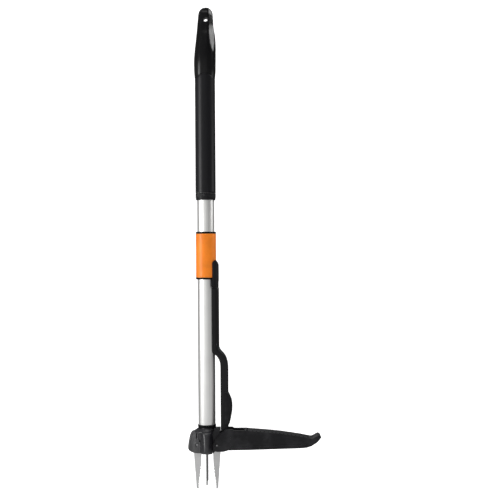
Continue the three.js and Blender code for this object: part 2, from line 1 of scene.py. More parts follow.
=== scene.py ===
"""A long-handled tool: four claws under a moulded head, a foot pedal, a straight tube with an
eject collar and bar, and a sliding handle with a rounded cap.

It stands upright along Z with the tube's axis on x = y = 0 and the claws pointing down.
Left is -X, the pedal and eject bar lie to the right at +X, and the front, which faces the
camera, is -Y. Shapes are in millimetres; the stage, lights and camera are in metres.
"""
import bpy, bmesh, json, math
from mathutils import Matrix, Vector

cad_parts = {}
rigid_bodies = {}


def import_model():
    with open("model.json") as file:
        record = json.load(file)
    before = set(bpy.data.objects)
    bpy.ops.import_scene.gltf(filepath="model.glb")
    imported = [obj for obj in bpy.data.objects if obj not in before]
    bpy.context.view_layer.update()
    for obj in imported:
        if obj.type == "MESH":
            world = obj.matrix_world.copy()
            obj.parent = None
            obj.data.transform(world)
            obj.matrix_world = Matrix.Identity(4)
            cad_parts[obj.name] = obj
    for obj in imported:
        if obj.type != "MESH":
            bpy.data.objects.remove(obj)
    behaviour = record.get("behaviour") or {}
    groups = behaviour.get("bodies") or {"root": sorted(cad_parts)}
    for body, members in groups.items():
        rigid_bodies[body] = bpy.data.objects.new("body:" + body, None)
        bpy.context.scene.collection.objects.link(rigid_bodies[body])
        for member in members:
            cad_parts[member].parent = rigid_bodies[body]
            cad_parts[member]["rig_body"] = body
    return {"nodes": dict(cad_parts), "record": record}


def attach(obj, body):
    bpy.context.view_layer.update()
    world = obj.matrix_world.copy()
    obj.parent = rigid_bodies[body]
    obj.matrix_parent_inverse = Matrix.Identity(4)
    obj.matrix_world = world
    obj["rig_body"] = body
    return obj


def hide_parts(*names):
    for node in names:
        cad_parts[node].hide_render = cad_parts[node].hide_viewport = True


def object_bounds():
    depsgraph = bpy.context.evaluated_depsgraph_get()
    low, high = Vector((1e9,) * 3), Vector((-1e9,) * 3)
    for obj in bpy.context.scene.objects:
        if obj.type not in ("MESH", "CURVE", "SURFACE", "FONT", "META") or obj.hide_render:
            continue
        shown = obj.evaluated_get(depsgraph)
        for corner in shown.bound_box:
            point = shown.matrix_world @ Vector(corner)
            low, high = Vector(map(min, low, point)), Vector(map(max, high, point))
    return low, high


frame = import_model()
CAD_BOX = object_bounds()
NODES = frame["nodes"]
MM = 0.001

# ------------------------------------------------------------------ shared sizes
TUBE_R, TUBE_BORE_R = 17.5, 15.5
TUBE_BOTTOM, TUBE_TOP = 55, 842
TUBE_CLEAR_R = 17.9                # bore of the parts that pass round the tube
NECK_R = 15.0                      # head's neck, inside the tube
BOLT_AT = (0, 75)                  # (y, z) of the bolt through tube and neck
PIN_OUT, PIN_Z = 20.4, 18          # claw pins: distance from the axis, and height
PIN_HOLE_R = 2.6
PIVOT_AT = (20.5, PIN_Z)           # (x, z) of the pedal's pivot
PIVOT_HOLE_R = 2.72
LINK_ARM, LINK_DROP = 16.5, math.radians(20)      # pivot to link, and its slope below level
LINK_Z = PIN_Z - LINK_ARM * math.sin(LINK_DROP)
LINK_AT = (36.5, LINK_Z)
LUG_SCREW_AT = (0, 372)            # (y, z) of the screws that lie along X
PAD_SCREW_AT = (0, 91)
CROSSHEAD_SCREW_AT = (0, 26.2)
LUG_SCREW_HOLE_R, PAD_SCREW_HOLE_R = 1.8, 1.95
COLLAR_BOTTOM, COLLAR_TOP = 357.4, 455.0
COLLAR_R, COLLAR_BORE_R, COLLAR_RING_H = 20.9, 18.9, 3.6
WHITE = (1, 1, 1, 1)


# ------------------------------------------------------------------ shader helpers
def new_material(name):
    material = bpy.data.materials.new(name)
    material.use_nodes = True
    tree = material.node_tree
    for old in list(tree.nodes):
        tree.nodes.remove(old)
    output = add(tree, "OutputMaterial")
    shader = add(tree, "BsdfPrincipled")
    tree.links.new(shader.outputs[0], output.inputs[0])
    return material, tree, shader

def add(tree, kind):
    return tree.nodes.new("ShaderNode" + kind)

def grey(level):
    return (level, level, level, 1)

def feed(tree, socket, value):
    """Sets a socket from another socket, or from a plain value."""
    if isinstance(value, bpy.types.NodeSocket):
        tree.links.new(value, socket)
    else:
        socket.default_value = value

def coords(tree, scale=(1, 1, 1)):
    source = add(tree, "TexCoord")
    mapping = add(tree, "Mapping")
    mapping.inputs["Scale"].default_value = scale
    tree.links.new(source.outputs["Object"], mapping.inputs["Vector"])
    return mapping.outputs[0]

def object_axes(tree):
    """The X, Y and Z sockets of the object coordinates."""
    split = add(tree, "SeparateXYZ")
    tree.links.new(coords(tree), split.inputs[0])
    return split.outputs

def noise(tree, scale, detail, roughness=0.5, vector=None):
    texture = add(tree, "TexNoise")
    texture.inputs["Scale"].default_value = scale
    texture.inputs["Detail"].default_value = detail
    texture.inputs["Roughness"].default_value = roughness
    tree.links.new(vector or coords(tree), texture.inputs["Vector"])
    return texture.outputs["Fac"]

def ramp(tree, factor, *stops):
    """Colour ramp of (position, colour) stops; a plain number stands for a grey."""
    ramp_node = add(tree, "ValToRGB")
    elements = ramp_node.color_ramp.elements
    for i, (position, colour) in enumerate(stops):
        element = elements[i] if i < 2 else elements.new(position)
        element.position = position
        element.color = colour if isinstance(colour, tuple) else grey(colour)
    tree.links.new(factor, ramp_node.inputs[0])
    return ramp_node.outputs[0]

def maths(tree, operation, *values):
    maths_node = add(tree, "Math")
    maths_node.operation = operation
    for socket, value in zip(maths_node.inputs, values):
        feed(tree, socket, value)
    return maths_node

def to_unit(tree, value, half_span=1.0):
    """Maps -half_span..half_span to 0..1."""
    return maths(tree, "MULTIPLY_ADD", value, 0.5 / half_span, 0.5)

def mix(tree, factor, first, second, blend="MIX"):
    mix_node = add(tree, "Mix")
    mix_node.data_type = "RGBA"
    mix_node.blend_type = blend
    for index, value in ((0, factor), (6, first), (7, second)):
        feed(tree, mix_node.inputs[index], value)
    return mix_node.outputs[2]

def multiply(tree, first, second):
    return mix(tree, 1.0, first, second, "MULTIPLY")

def bump(tree, shader, height, strength, distance):
    bump_node = add(tree, "Bump")
    bump_node.inputs["Strength"].default_value = strength
    bump_node.inputs["Distance"].default_value = distance
    tree.links.new(height, bump_node.inputs["Height"])
    tree.links.new(bump_node.outputs[0], shader.inputs["Normal"])


# ------------------------------------------------------------------ materials
def plastic(name, colour, worn, rough, spec=0.5, grain=2600.0, grain_depth=0.00003, fade=None):
    """Moulded plastic: fine grain, slight mottling, paler rubbed edges and faint scuffs.

    fade is two (x in mm, level) pairs: the specular level goes from one to the other across X,
    and takes the place of spec. This is a painted sheen, stronger on one side of the part.
    """
    material, tree, shader = new_material(name)
    vector = coords(tree)
    broad = noise(tree, scale=38.0, detail=4.0, roughness=0.55, vector=vector)
    fine = noise(tree, scale=grain, detail=2.0, roughness=0.6, vector=vector)
    geometry = add(tree, "NewGeometry")
    edge = ramp(tree, geometry.outputs["Pointiness"], (0.515, 0), (0.60, 1))
    patchy = ramp(tree, broad, (0.42, 0), (0.72, 1))
    base = mix(tree, patchy, colour + (1,), tuple(c * 1.22 for c in colour) + (1,))
    rubbed = maths(tree, "MULTIPLY", edge, patchy).outputs[0]
    tree.links.new(mix(tree, rubbed, base, worn + (1,)), shader.inputs["Base Color"])
    stretched = coords(tree, (260, 260, 16))
    scuffs = noise(tree, scale=1.0, detail=3.0, roughness=0.7, vector=stretched)
    roughness = ramp(tree, scuffs, (0.30, rough - 0.07), (0.75, rough + 0.09))
    tree.links.new(roughness, shader.inputs["Roughness"])
    shader.inputs["Specular IOR Level"].default_value = spec
    # painted sheen: the specular level changes with x, so one side of the part shines more than the
    # other under any light
    if fade:
        across = object_axes(tree)[0]
        level = add(tree, "MapRange")
        level.interpolation_type = "SMOOTHSTEP"
        (x0, level0), (x1, level1) = fade
        for key, value in (("From Min", x0 * MM), ("From Max", x1 * MM),
                           ("To Min", level0), ("To Max", level1)):
            level.inputs[key].default_value = value
        tree.links.new(across, level.inputs["Value"])
        tree.links.new(level.outputs[0], shader.inputs["Specular IOR Level"])
    bump(tree, shader, fine, strength=0.55, distance=grain_depth)
    return material

def metal(name, colour, rough, stretch, depth, dark, broad=None, edge_tone=0.3):
    """Metal with lines along one axis (set by stretch) and slow tone changes down to dark.

    broad is the axis the two wide faces point along; the other faces, the plate's edges, get
    edge_tone: partly the sheared edges' duller finish, partly painted shade.
    """
    material, tree, shader = new_material(name)
    lines = noise(tree, scale=1.0, detail=5.0, roughness=0.65, vector=coords(tree, stretch))
    slow = noise(tree, scale=22.0, detail=3.0)
    tone = ramp(tree, slow, (0.35, tuple(c * dark for c in colour) + (1,)), (0.62, colour + (1,)))
    streak = ramp(tree, lines, (0.30, 0.86), (0.70, 1.0))
    shade = multiply(tree, tone, streak)
    if broad is not None:
        source = add(tree, "TexCoord")
        normal = add(tree, "SeparateXYZ")
        tree.links.new(source.outputs["Normal"], normal.inputs[0])
        facing = maths(tree, "ABSOLUTE", normal.outputs[broad]).outputs[0]
        wide_face = ramp(tree, facing, (0.45, 0), (0.80, 1))
        shade = mix(tree, wide_face, tuple(c * edge_tone for c in colour) + (1,), shade)
    tree.links.new(shade, shader.inputs["Base Color"])
    shader.inputs["Metallic"].default_value = 1.0
    roughness = ramp(tree, lines, (0.25, rough * 0.8), (0.78, rough * 1.35))
    tree.links.new(roughness, shader.inputs["Roughness"])
    bump(tree, shader, lines, strength=0.5, distance=depth)
    return material

BLACK = plastic("moulded_black", colour=(0.0046, 0.0046, 0.0056), worn=(0.020, 0.020, 0.022),
                rough=0.37, spec=0.18)
GLOSS = plastic("cap_black", colour=(0.0022, 0.0022, 0.0026), worn=(0.010, 0.010, 0.011),
                rough=0.18, spec=0.17, grain=3400.0, grain_depth=0.000010)
# The head gets a paler, shinier copy of the black plastic: painted light. Its sheen is painted,
# strong on the left and the nose and weak to the right, standing in for the key light's highlight.
HEAD_BLACK_PAINTED_SHEEN = plastic("head_black_painted_sheen", colour=(0.0085, 0.0085, 0.0105), worn=(0.030, 0.030, 0.034),
                     rough=0.36, spec=0.7, fade=((1.5, 0.57), (7.0, 0.26)))
RING_BLACK = plastic("ring_black", colour=(0.0020, 0.0020, 0.0022), worn=(0.008, 0.008, 0.009),
                     rough=0.45, spec=0.06)
SOFT = plastic("soft_touch_black", colour=(0.0042, 0.0042, 0.0054), worn=(0.016, 0.016, 0.018),
               rough=0.34, spec=0.18, grain=1900.0)
ORANGE = plastic("collar_orange", colour=(0.70, 0.178, 0.0080), worn=(0.80, 0.29, 0.05),
                 rough=0.38, spec=0.30, grain=2400.0, grain_depth=0.00002)
PALE = plastic("acetal_pale", colour=(0.62, 0.62, 0.58), worn=(0.7, 0.7, 0.68), rough=0.42)
SILVER = metal("anodised_tube", colour=(0.83, 0.83, 0.815), rough=0.40, stretch=(900, 900, 9),
               depth=0.000010, dark=0.96)
CLAW_METAL = dict(colour=(0.60, 0.60, 0.60), rough=0.34, stretch=(55, 55, 900),
                  depth=0.00002, dark=0.82)
STEEL = metal("claw_steel", broad=1, **CLAW_METAL)
# the front and rear claws turn their edges to the front and rear; their deeper edge_tone is partly
# the sheared edges' duller finish and partly painted shade
STEEL_X = metal("claw_steel_x", broad=0, edge_tone=0.22, **CLAW_METAL)
SMALL_METAL = dict(stretch=(420, 420, 420), depth=0.000012, dark=0.8)
PIN_STEEL = metal("pin_steel", colour=(0.34, 0.34, 0.35), rough=0.36, **SMALL_METAL)
ZINC = metal("zinc_steel", colour=(0.56, 0.57, 0.59), rough=0.33, **SMALL_METAL)

SLOT_MATERIAL = {"silver_tube": SILVER, "black_plastic": BLACK, "soft_black": SOFT,
                 "gloss_black": GLOSS, "orange_plastic": ORANGE, "claw_steel": STEEL,
                 "zinc_steel": ZINC, "pale_plastic": PALE}
slot_of = {part["node"]: part["material_slot"] for part in frame["record"]["subparts"]}
body_of = {name: cad["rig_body"] for name, cad in NODES.items()}
for name, cad in NODES.items():
    cad.data.materials.clear()
    cad.data.materials.append(SLOT_MATERIAL[slot_of[name]])


# ------------------------------------------------------------------ mesh helpers
def add_object(mesh, name="piece"):
    new = bpy.data.objects.new(name, mesh)
    bpy.context.scene.collection.objects.link(new)
    return new

def solid(verts, faces):
    """A closed mesh object from millimetre points."""
    mesh = bpy.data.meshes.new("piece")
    mesh.from_pydata([(x * MM, y * MM, z * MM) for x, y, z in verts], [], faces)
    bm = bmesh.new()
    bm.from_mesh(mesh)
    bmesh.ops.remove_doubles(bm, verts=bm.verts, dist=2e-7)
    bmesh.ops.recalc_face_normals(bm, faces=bm.faces)
    bm.to_mesh(mesh)
    bm.free()
    return add_object(mesh)

def rounded(points, radius=1.0, steps=4):
    """Rounds a closed outline's corners. A point's third number is its own radius."""
    outline, count = [], len(points)
    for i, point in enumerate(points):
        wanted = point[2] if len(point) > 2 else radius
        corner = Vector(point[:2])
        back = Vector(points[i - 1][:2]) - corner
        ahead = Vector(points[(i + 1) % count][:2]) - corner
        back_len, ahead_len = back.length, ahead.length
        if wanted <= 0 or back_len < 1e-6 or ahead_len < 1e-6:
            outline.append((corner.x, corner.y))
            continue
        back.normalize()
        ahead.normalize()
        angle = back.angle(ahead)
        if angle > math.pi - 0.03 or angle < 0.03:
            outline.append((corner.x, corner.y))
            continue
        trim = min(wanted / math.tan(angle / 2), 0.49 * back_len, 0.49 * ahead_len)
        arc_r = trim * math.tan(angle / 2)
        centre = corner + (back + ahead).normalized() * (arc_r / math.sin(angle / 2))
        start, end = corner + back * trim, corner + ahead * trim
        start_a = math.atan2(start.y - centre.y, start.x - centre.x)
        end_a = math.atan2(end.y - centre.y, end.x - centre.x)
        sweep = (end_a - start_a + math.pi) % (2 * math.pi) - math.pi
        pieces = max(1, round(steps * abs(sweep) / (math.pi / 2)))
        for j in range(pieces + 1):
            a = start_a + sweep * j / pieces
            outline.append((centre.x + arc_r * math.cos(a), centre.y + arc_r * math.sin(a)))
    return outline

# (two coordinates across the axis, one along it, offset across) to x, y, z
PLACE = {"z": lambda a, b, along, at: (a + at[0], b + at[1], along),
         "y": lambda a, b, along, at: (a + at[0], along, b + at[1]),
         "x": lambda a, b, along, at: (along, a + at[0], b + at[1])}

def turned(profile, segments=96, edge=0.35, axis="z", at=(0, 0), steps=3, shape=None):
    """Turned solid from (radius, along[, corner radius]) points; radius 0 is a pole."""
    poles = profile[0][0] == 0
    points = [p if len(p) > 2 else (*p, 0 if p[0] == 0 else edge) for p in profile]
    verts, rings = [], []
    for radius, along in rounded(points, edge, steps):
        if radius < 1e-6:
            rings.append([len(verts)])
            verts.append(PLACE[axis](0, 0, along, at))
            continue
        ring = []
        for i in range(segments):
            a = 2 * math.pi * i / segments
            r, t = shape(radius, along, a) if shape else (radius, along)
            ring.append(len(verts))
            verts.append(PLACE[axis](r * math.cos(a), r * math.sin(a), t, at))
        rings.append(ring)
    faces = []
    count = len(rings)
    for k in range(count - 1 if poles else count):
        low, high = rings[k], rings[(k + 1) % count]
        if len(low) == 1 and len(high) == 1:
            continue
        for i in range(segments):
            j = (i + 1) % segments
            if len(low) == 1:
                faces.append((low[0], high[j], high[i]))
            elif len(high) == 1:
                faces.append((low[i], low[j], high[0]))
            else:
                faces.append((low[i], low[j], high[j], high[i]))
    return solid(verts, faces)

def rod(axis, at, radius, start, end, segments=48, edge=0):
    return turned([(0, start), (radius, start), (radius, end), (0, end)], segments, edge, axis, at)

def sleeve(bore, radius, start, end, segments=96, edge=0, axis="z", at=(0, 0)):
    return turned([(bore, start), (radius, start), (radius, end), (bore, end)],
                  segments, edge, axis, at)

def extruded(outline, axis, start, end):
    """Outline pushed along an axis; its points are the other two axes in x, y, z order."""
    n = len(outline)
    verts = [PLACE[axis](a, b, t, (0, 0)) for t in (start, end) for a, b in outline]
    faces = [tuple(range(n)), tuple(range(2 * n - 1, n - 1, -1))]
    faces += [(i, (i + 1) % n, n + (i + 1) % n, n + i) for i in range(n)]
    return solid(verts, faces)

def block(x0, x1, y0, y1, z0, z1):
    return extruded([(x0, y0), (x1, y0), (x1, y1), (x0, y1)], "z", z0, z1)

def lofted(rings):
    n = len(rings[0])
    verts = [point for ring in rings for point in ring]
    faces = [tuple(range(n)), tuple(range(len(verts) - 1, len(verts) - n - 1, -1))]
    for k in range(len(rings) - 1):
        for i in range(n):
            j = (i + 1) % n
            faces.append((k * n + i, k * n + j, (k + 1) * n + j, (k + 1) * n + i))
    return solid(verts, faces)

def curve(table):
    """Smooth monotone curve through (t, value) points, held level beyond its ends."""
    t, v = zip(*table)
    n = len(t)
    d = [(v[i + 1] - v[i]) / (t[i + 1] - t[i]) for i in range(n - 1)]
    inner_slopes = [0.0 if a * b <= 0 else 2 * a * b / (a + b) for a, b in zip(d, d[1:])]
    slope = [d[0]] + inner_slopes + [d[-1]]
    def value_at(x):
        if x <= t[0]:
            return v[0]
        if x >= t[-1]:
            return v[-1]
        i = max(k for k in range(n - 1) if t[k] <= x)
        h = t[i + 1] - t[i]
        s = (x - t[i]) / h
        return ((1 + 2 * s) * (1 - s) ** 2 * v[i] + s * (1 - s) ** 2 * h * slope[i]
                + s * s * (3 - 2 * s) * v[i + 1] + s * s * (s - 1) * h * slope[i + 1])
    return value_at

def apply_modifiers(piece):
    depsgraph = bpy.context.evaluated_depsgraph_get()
    mesh = bpy.data.meshes.new_from_object(piece.evaluated_get(depsgraph))
    piece.modifiers.clear()
    old = piece.data
    piece.data = mesh
    bpy.data.meshes.remove(old)

def combine(piece, tools, operation):
    """Applies one exact boolean per tool and deletes the tools."""
    for tool in tools:
        modifier = piece.modifiers.new("b", "BOOLEAN")
        modifier.operation = operation
        modifier.solver = "EXACT"
        modifier.object = tool
        apply_modifiers(piece)
        tool_mesh = tool.data
        bpy.data.objects.remove(tool)
        bpy.data.meshes.remove(tool_mesh)
    return piece

def cut(piece, *tools):
    return combine(piece, tools, "DIFFERENCE")

def fuse(piece, *tools):
    return combine(piece, tools, "UNION")

def ease_edges(piece, width, segments, angle):
    bevel = piece.modifiers.new("edge", "BEVEL")
    bevel.width = width * MM
    bevel.segments = segments
    bevel.limit_method = "ANGLE"
    bevel.angle_limit = math.radians(angle)
    normals = piece.modifiers.new("normals", "WEIGHTED_NORMAL")
    normals.keep_sharp = True
    return bevel, normals

def finish(piece, node, bevel=None, smooth_angle=38, material=None):
    """Shading, material and CAD node of a piece. bevel is (width, segments, angle)."""
    mesh = piece.data
    piece.name = "vis_" + node
    mesh.materials.clear()
    mesh.materials.append(material or SLOT_MATERIAL[slot_of[node]])
    for polygon in mesh.polygons:
        polygon.use_smooth = True
    if bevel:
        edge, normals = ease_edges(piece, *bevel)
        edge.use_clamp_overlap = True
        edge.harden_normals = False
        edge.miter_outer = "MITER_ARC"
        normals.weight = 60
    else:
        mesh.set_sharp_from_angle(angle=math.radians(smooth_angle))
    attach(piece, body_of[node])
    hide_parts(node)


# ------------------------------------------------------------------ tube and its rings
# Turned profiles are (radius, height[, corner radius]).
finish(cut(sleeve(TUBE_BORE_R, TUBE_R, TUBE_BOTTOM, TUBE_TOP, 128, 0.5),
           rod("x", BOLT_AT, 2.6, -20, 20)), "shaft_tube")
finish(turned([(0, 822), (15.2, 822), (15.2, 842.3), (17.2, 842.3), (17.2, 845.2), (0, 845.2)],
              64, 0.4), "tube_top_bush")
finish(turned([(15.3, 53.2), (17.8, 53.2), (18.7, 54.1), (18.7, 58.8), (17.75, 58.8),
               (17.75, 54.7), (15.3, 54.7)], edge=0.25), "tube_base_ring", material=RING_BLACK)
finish(turned([(15.3, 46.2), (17.8, 46.2), (17.8, 48.8), (16.2, 50.6), (15.3, 50.6)]),
       "head_neck_ring")
finish(rod("x", BOLT_AT, 2.4, -17.2, 17.2, 32, 0.5), "tube_cross_bolt")

# ------------------------------------------------------------------ head: two half shells
HEAD_BOTTOM = 1.0
LOBE_ROOT, NOSE = 15, 4.8          # where a lobe starts, and the length of its rounded nose
RIGHT_LIMIT = 11.2                 # front and rear lobes reach no further right near the tube
HALF_GAP = 0.15                    # from the parting plane to each shell
# (height, reach of a lobe)
lobe_reach = curve([(HEAD_BOTTOM, 28.4), (2.6, 33.0), (4.8, 36.7), (9.0, 39.3), (12, 39.3),
                    (31.3, 36.5), (39.1, 34.5), (43.4, 32.4), (45.6, 29.6), (46.4, 26.4)])
# (distance from the axis, half width of a lobe)
lobe_half = curve([(15, 13.4), (22, 11.0), (33, 6.4), (41, 4.9)])
# (x, z, corner radius) of the block on the right
RIGHT_BLOCK = [(0, HEAD_BOTTOM, 0), (10, HEAD_BOTTOM, 3), (16, 3.2, 3), (22, 5.6, 3),
               (26, 8.4, 2), (27.5, 12, 2), (27.5, 51.5, 0.8), (26.7, 52.3, 0.6), (0, 52.3, 0)]
SIDE_RIB = [(-18.6, 29.6), (-12.0, 29.6), (-12.0, 43.4), (-17.0, 43.4), (-18.6, 41.5)]
# (distance out, height) of the narrow slot a claw swings in
CLAW_SLOT = [(0, -1), (28.6, -1), (28.6, 22), (23, 28), (23, 43), (0, 43)]
# x, z, shank end y, head seat y, name
HEAD_SCREWS = [(-26.5, 38, -6, 6.0, "left"), (21.5, 46.6, -9, 8.6, "right"),
               (-33.4, 12, -3.4, 3.6, "lower")]

def lobe(reach, inset, steps=10):
    """One flank, the rounded nose and the other flank, in (distance out, across)."""
    base = reach - NOSE
    half = lambda u: lobe_half(u) - inset * 0.5
    flank = [LOBE_ROOT + (base - LOBE_ROOT) * k / 4 for k in range(4)]
    nose = []
    for k in range(steps + 1):
        a = -math.pi / 2 + math.pi * k / steps
        c, s = max(0.0, math.cos(a)), math.sin(a)
        nose.append((base + NOSE * c ** 0.85, half(base) * math.copysign(abs(s) ** 0.9, s)))
    return [(u, -half(u)) for u in flank] + nose + [(u, half(u)) for u in flank[::-1]]

def quarter_turns(points, count):
    for _ in range(count):
        points = [(-v, u) for u, v in points]
    return points

def trim_right(points):
    return [(min(x, RIGHT_LIMIT) if abs(y) < 21 else x, y) for x, y in points]

# (height, inset): the inset rounds the bottom and top edges
head_levels = [(HEAD_BOTTOM, 0.9), (HEAD_BOTTOM + 0.25, 0.45), (HEAD_BOTTOM + 0.9, 0.0)]
head_levels += [(2.8 + 0.9 * k, 0.0) for k in range(47)]
head_levels += [(45.0, 0.05), (45.6, 0.2), (46.1, 0.5), (46.4, 1.0)]
rings = []
for z, inset in head_levels:
    points = lobe(lobe_reach(z) - inset, inset)
    ring = quarter_turns(points, 2) + trim_right(quarter_turns(points, 3))
    ring += [(RIGHT_LIMIT, -11.0), (14.0, -11.0), (14.0, 11.0), (RIGHT_LIMIT, 11.0)]
    ring += trim_right(quarter_turns(points, 1))
    rings.append([(x, y, z) for x, y in ring])
head = lofted(rings)
right_block = extruded(rounded(RIGHT_BLOCK), "y", -11, 11)
top_cone = cut(turned([(0, 44), (26.5, 44), (26.5, 46.1, 0.8), (19.6, 51.4, 0.5), (0, 51.4)],
                      edge=0.4), block(8, 40, -30, 30, 40, 60))
fuse(head, right_block, top_cone)
# ribs and pin bosses on the flanks of the left lobe
for side in (-1, 1):
    y0, y1 = sorted((side * 9.0, side * 14.6))
    fuse(head, extruded(rounded(SIDE_RIB, 0.8, 3), "y", y0, y1))
    fuse(head, rod("y", (-PIN_OUT, PIN_Z), 4.4, 6 * side, 11.2 * side, 40, 0.6))
cut(head, sleeve(NECK_R - 0.2, 18.1, 45.9, 53))
fuse(head, rod("z", (0, 0), NECK_R, 44, 96, 96, 0.6))
left_slot = [(-out, z) for out, z in CLAW_SLOT]
cut(head,
    block(-17.4, 17.4, -4.8, 4.8, -1, 43), block(-4.8, 4.8, -17.4, 17.4, -1, 43),
    extruded(left_slot, "y", -2, 2), extruded(CLAW_SLOT, "x", -2, 2),
    extruded(left_slot, "x", -2, 2),
    block(0, 30, -2, 2, -1, 24), block(0, 30, -4.8, 4.8, 21.6, 43),
    block(25.6, 30, -7.6, 7.6, 21.6, 43),
    rod("z", (0, 0), 9, -1, 13.8),
    rod("y", (-PIN_OUT, PIN_Z), PIN_HOLE_R, -15, 15), rod("y", PIVOT_AT, 2.7, -15, 15),
    rod("x", (-PIN_OUT, PIN_Z), PIN_HOLE_R, -15, 15),
    rod("x", (PIN_OUT, PIN_Z), PIN_HOLE_R, -15, 15), rod("x", BOLT_AT, 2.6, -16, 16),
    # small round holes, and the shallow channel beside each rib
    rod("y", (-13.9, 26.2), 2.1, -16, -9, 24), rod("y", (-13.9, 26.2), 2.1, 9, 16, 24),
    block(-21.8, -20.3, -12.4, -9.2, 31, 43), block(-21.8, -20.3, 9.2, 12.4, 31, 43))
for x, z, shank_end, seat, _ in HEAD_SCREWS:
    cut(head, rod("y", (x, z), 1.65, shank_end - 0.5, 14, 24),
        rod("y", (x, z), 2.8, seat - 0.1, 14, 32))

# a voxel remesh softens every edge by about one voxel, as in a moulding
VOXEL = 0.5
voxels = head.modifiers.new("r", "REMESH")
voxels.mode = "VOXEL"
voxels.voxel_size = VOXEL * MM
voxels.adaptivity = 0.0
smoothing = head.modifiers.new("s", "SMOOTH")
smoothing.factor = 0.5
smoothing.iterations = 3
apply_modifiers(head)

def half_of(piece, side):
    """The half of a piece on the -Y (-1) or +Y (1) side, closed with a flat face."""
    bm = bmesh.new()
    bm.from_mesh(piece.data)
    result = bmesh.ops.bisect_plane(
        bm, geom=bm.verts[:] + bm.edges[:] + bm.faces[:], dist=1e-8,
        plane_co=(0, side * HALF_GAP * MM, 0), plane_no=(0, 1, 0),
        clear_outer=side < 0, clear_inner=side > 0)
    rim = [e for e in result["geom_cut"] if isinstance(e, bmesh.types.BMEdge)]
    bmesh.ops.triangle_fill(bm, edges=rim, use_beauty=True, use_dissolve=False)
    bmesh.ops.recalc_face_normals(bm, faces=bm.faces)
    mesh = bpy.data.meshes.new("half")
    bm.to_mesh(mesh)
    bm.free()
    return add_object(mesh)

front, rear = half_of(head, -1), half_of(head, 1)
bpy.data.objects.remove(head)
finish(front, "head_shell_front", smooth_angle=55, material=HEAD_BLACK_PAINTED_SHEEN)
finish(rear, "head_shell_rear", smooth_angle=55, material=HEAD_BLACK_PAINTED_SHEEN)


# ------------------------------------------------------------------ screws and pins
def screw(node, axis, at, shank_end, seat, height, shank_r, head_r):
    """Pan-head screw: shank up to the seat, then a domed head with a cross recess."""
    top = seat + height
    profile = [(0, shank_end), (shank_r, shank_end + 0.4), (shank_r, seat), (head_r, seat),
               (head_r, seat + 0.55 * height, 0.3), (head_r * 0.55, top, 1.0), (0, top)]
    piece = turned(profile, 40, 0.12, axis, at, 4)
    narrow, wide = head_r * 0.13, head_r * 0.55
    a, z = at
    for half_a, half_z in ((narrow, wide), (wide, narrow)):
        across, along = (a - half_a, a + half_a), (top - 0.62 * height, top + 1.0)
        spans = across + along if axis == "y" else along + across
        cut(piece, block(*spans, z - half_z, z + half_z))
    finish(piece, node)

for x, z, shank_end, seat, tag in HEAD_SCREWS:
    screw("head_screw_" + tag, "y", (x, z), shank_end, seat, height=1.7, shank_r=1.5, head_r=2.5)
screw("lug_screw", "x", LUG_SCREW_AT, 19.1, 24.0, height=1.7, shank_r=1.6, head_r=3.0)
screw("pad_screw", "x", PAD_SCREW_AT, 38, 49.7, height=1.9, shank_r=1.7, head_r=3.2)
screw("crosshead_screw", "x", CROSSHEAD_SCREW_AT, 26.4, 41.5, height=2.4, shank_r=1.9, head_r=3.4)

# name, axis, distance out, far end
for tag, axis, out, end in (("left", "y", -PIN_OUT, 10.5), ("front", "x", -PIN_OUT, 9.7),
                            ("rear", "x", PIN_OUT, 9.7)):
    finish(rod(axis, (out, PIN_Z), 2.5, -10.5, end, edge=0.7), "claw_pin_" + tag,
           material=PIN_STEEL)
PIVOT_PIN = [(0, -20.9), (1.5, -20.9, 0.6), (2.6, -19.7, 0.5), (2.6, 21.8, 0.1),
             (4.6, 21.8, 0.2), (4.6, 23.2, 0.9), (0, 23.2)]
finish(turned(PIVOT_PIN, 48, 0.5, "y", PIVOT_AT), "pedal_pivot_pin", material=PIN_STEEL)
finish(rod("y", LINK_AT, 3, -18.5, 18.5, edge=0.6), "link_pin")
for y0, y1, tag in ((-19.4, -11.6, "front"), (11.6, 19.4, "rear")):
    finish(sleeve(PIVOT_HOLE_R, 5.05, y0, y1, 48, 0.3, "y", PIVOT_AT), "pedal_bush_" + tag)

# ------------------------------------------------------------------ claws
# Drawn as (distance out, height[, corner radius]), then mirrored or turned to each side.
CLAW_LONG, CLAW_SHORT = -73.3, -62.5          # heights of the tips
CLAW_HALF = 1.4                               # half the plate's thickness
CAM_START, CAM_TRAVEL, CAM_SWING = (14, 26), 9.914, math.radians(9.5)
CAM_R = 2.4                                   # half the cam slot's width
SHANK = [(27.5, 0, 6), (27.8, 10, 5), (26.8, 16, 4), (24.5, 21.2, 4), (20.5, 25, 2), (19, 27, 2),
         (16.4, 36, 2.4), (13.5, 39.3, 2.4), (9, 39.3, 2.0), (6.6, 36, 1.5), (7.6, 30, 1),
         (9.2, 23, 2), (10.8, 14, 4), (11.8, 0, 6), (12.4, -14, 4), (12.9, -27, 1)]
TEETH = (-32, -39.2, -46.5, -53.7, -59.9, -66.1)          # heights on the long claw
TEETH_TOP = -27
# (height, distance out) of the toothed inner edge
inner_edge = curve([(-73.3, 17.8), (-60, 16.8), (-46, 14.6), (-27, 12.9), (-14, 12.4), (0, 11.8)])

def outer_edge(z):
    return 27.5 + z * (5.5 / 73.3)

def claw_outline(tip):
    shift = tip - CLAW_LONG
    points = [(outer_edge(tip) - 0.6, tip, 0.4), (outer_edge(tip + 3), tip + 3, 1.5),
              (outer_edge(-30), -30, 0)] + SHANK
    for tooth in TEETH:
        z = tooth + shift * (tooth - TEETH_TOP) / (TEETH[-1] - TEETH_TOP)
        if z < tip + 5:
            break
        points += [(inner_edge(tooth) + 1.5, z + 0.9, 0.25), (inner_edge(tooth), z, 0.2)]
    return points + [(inner_edge(-68) + 1.3, tip + 5, 0.6), (outer_edge(tip) - 4.2, tip + 0.6, 0.5)]

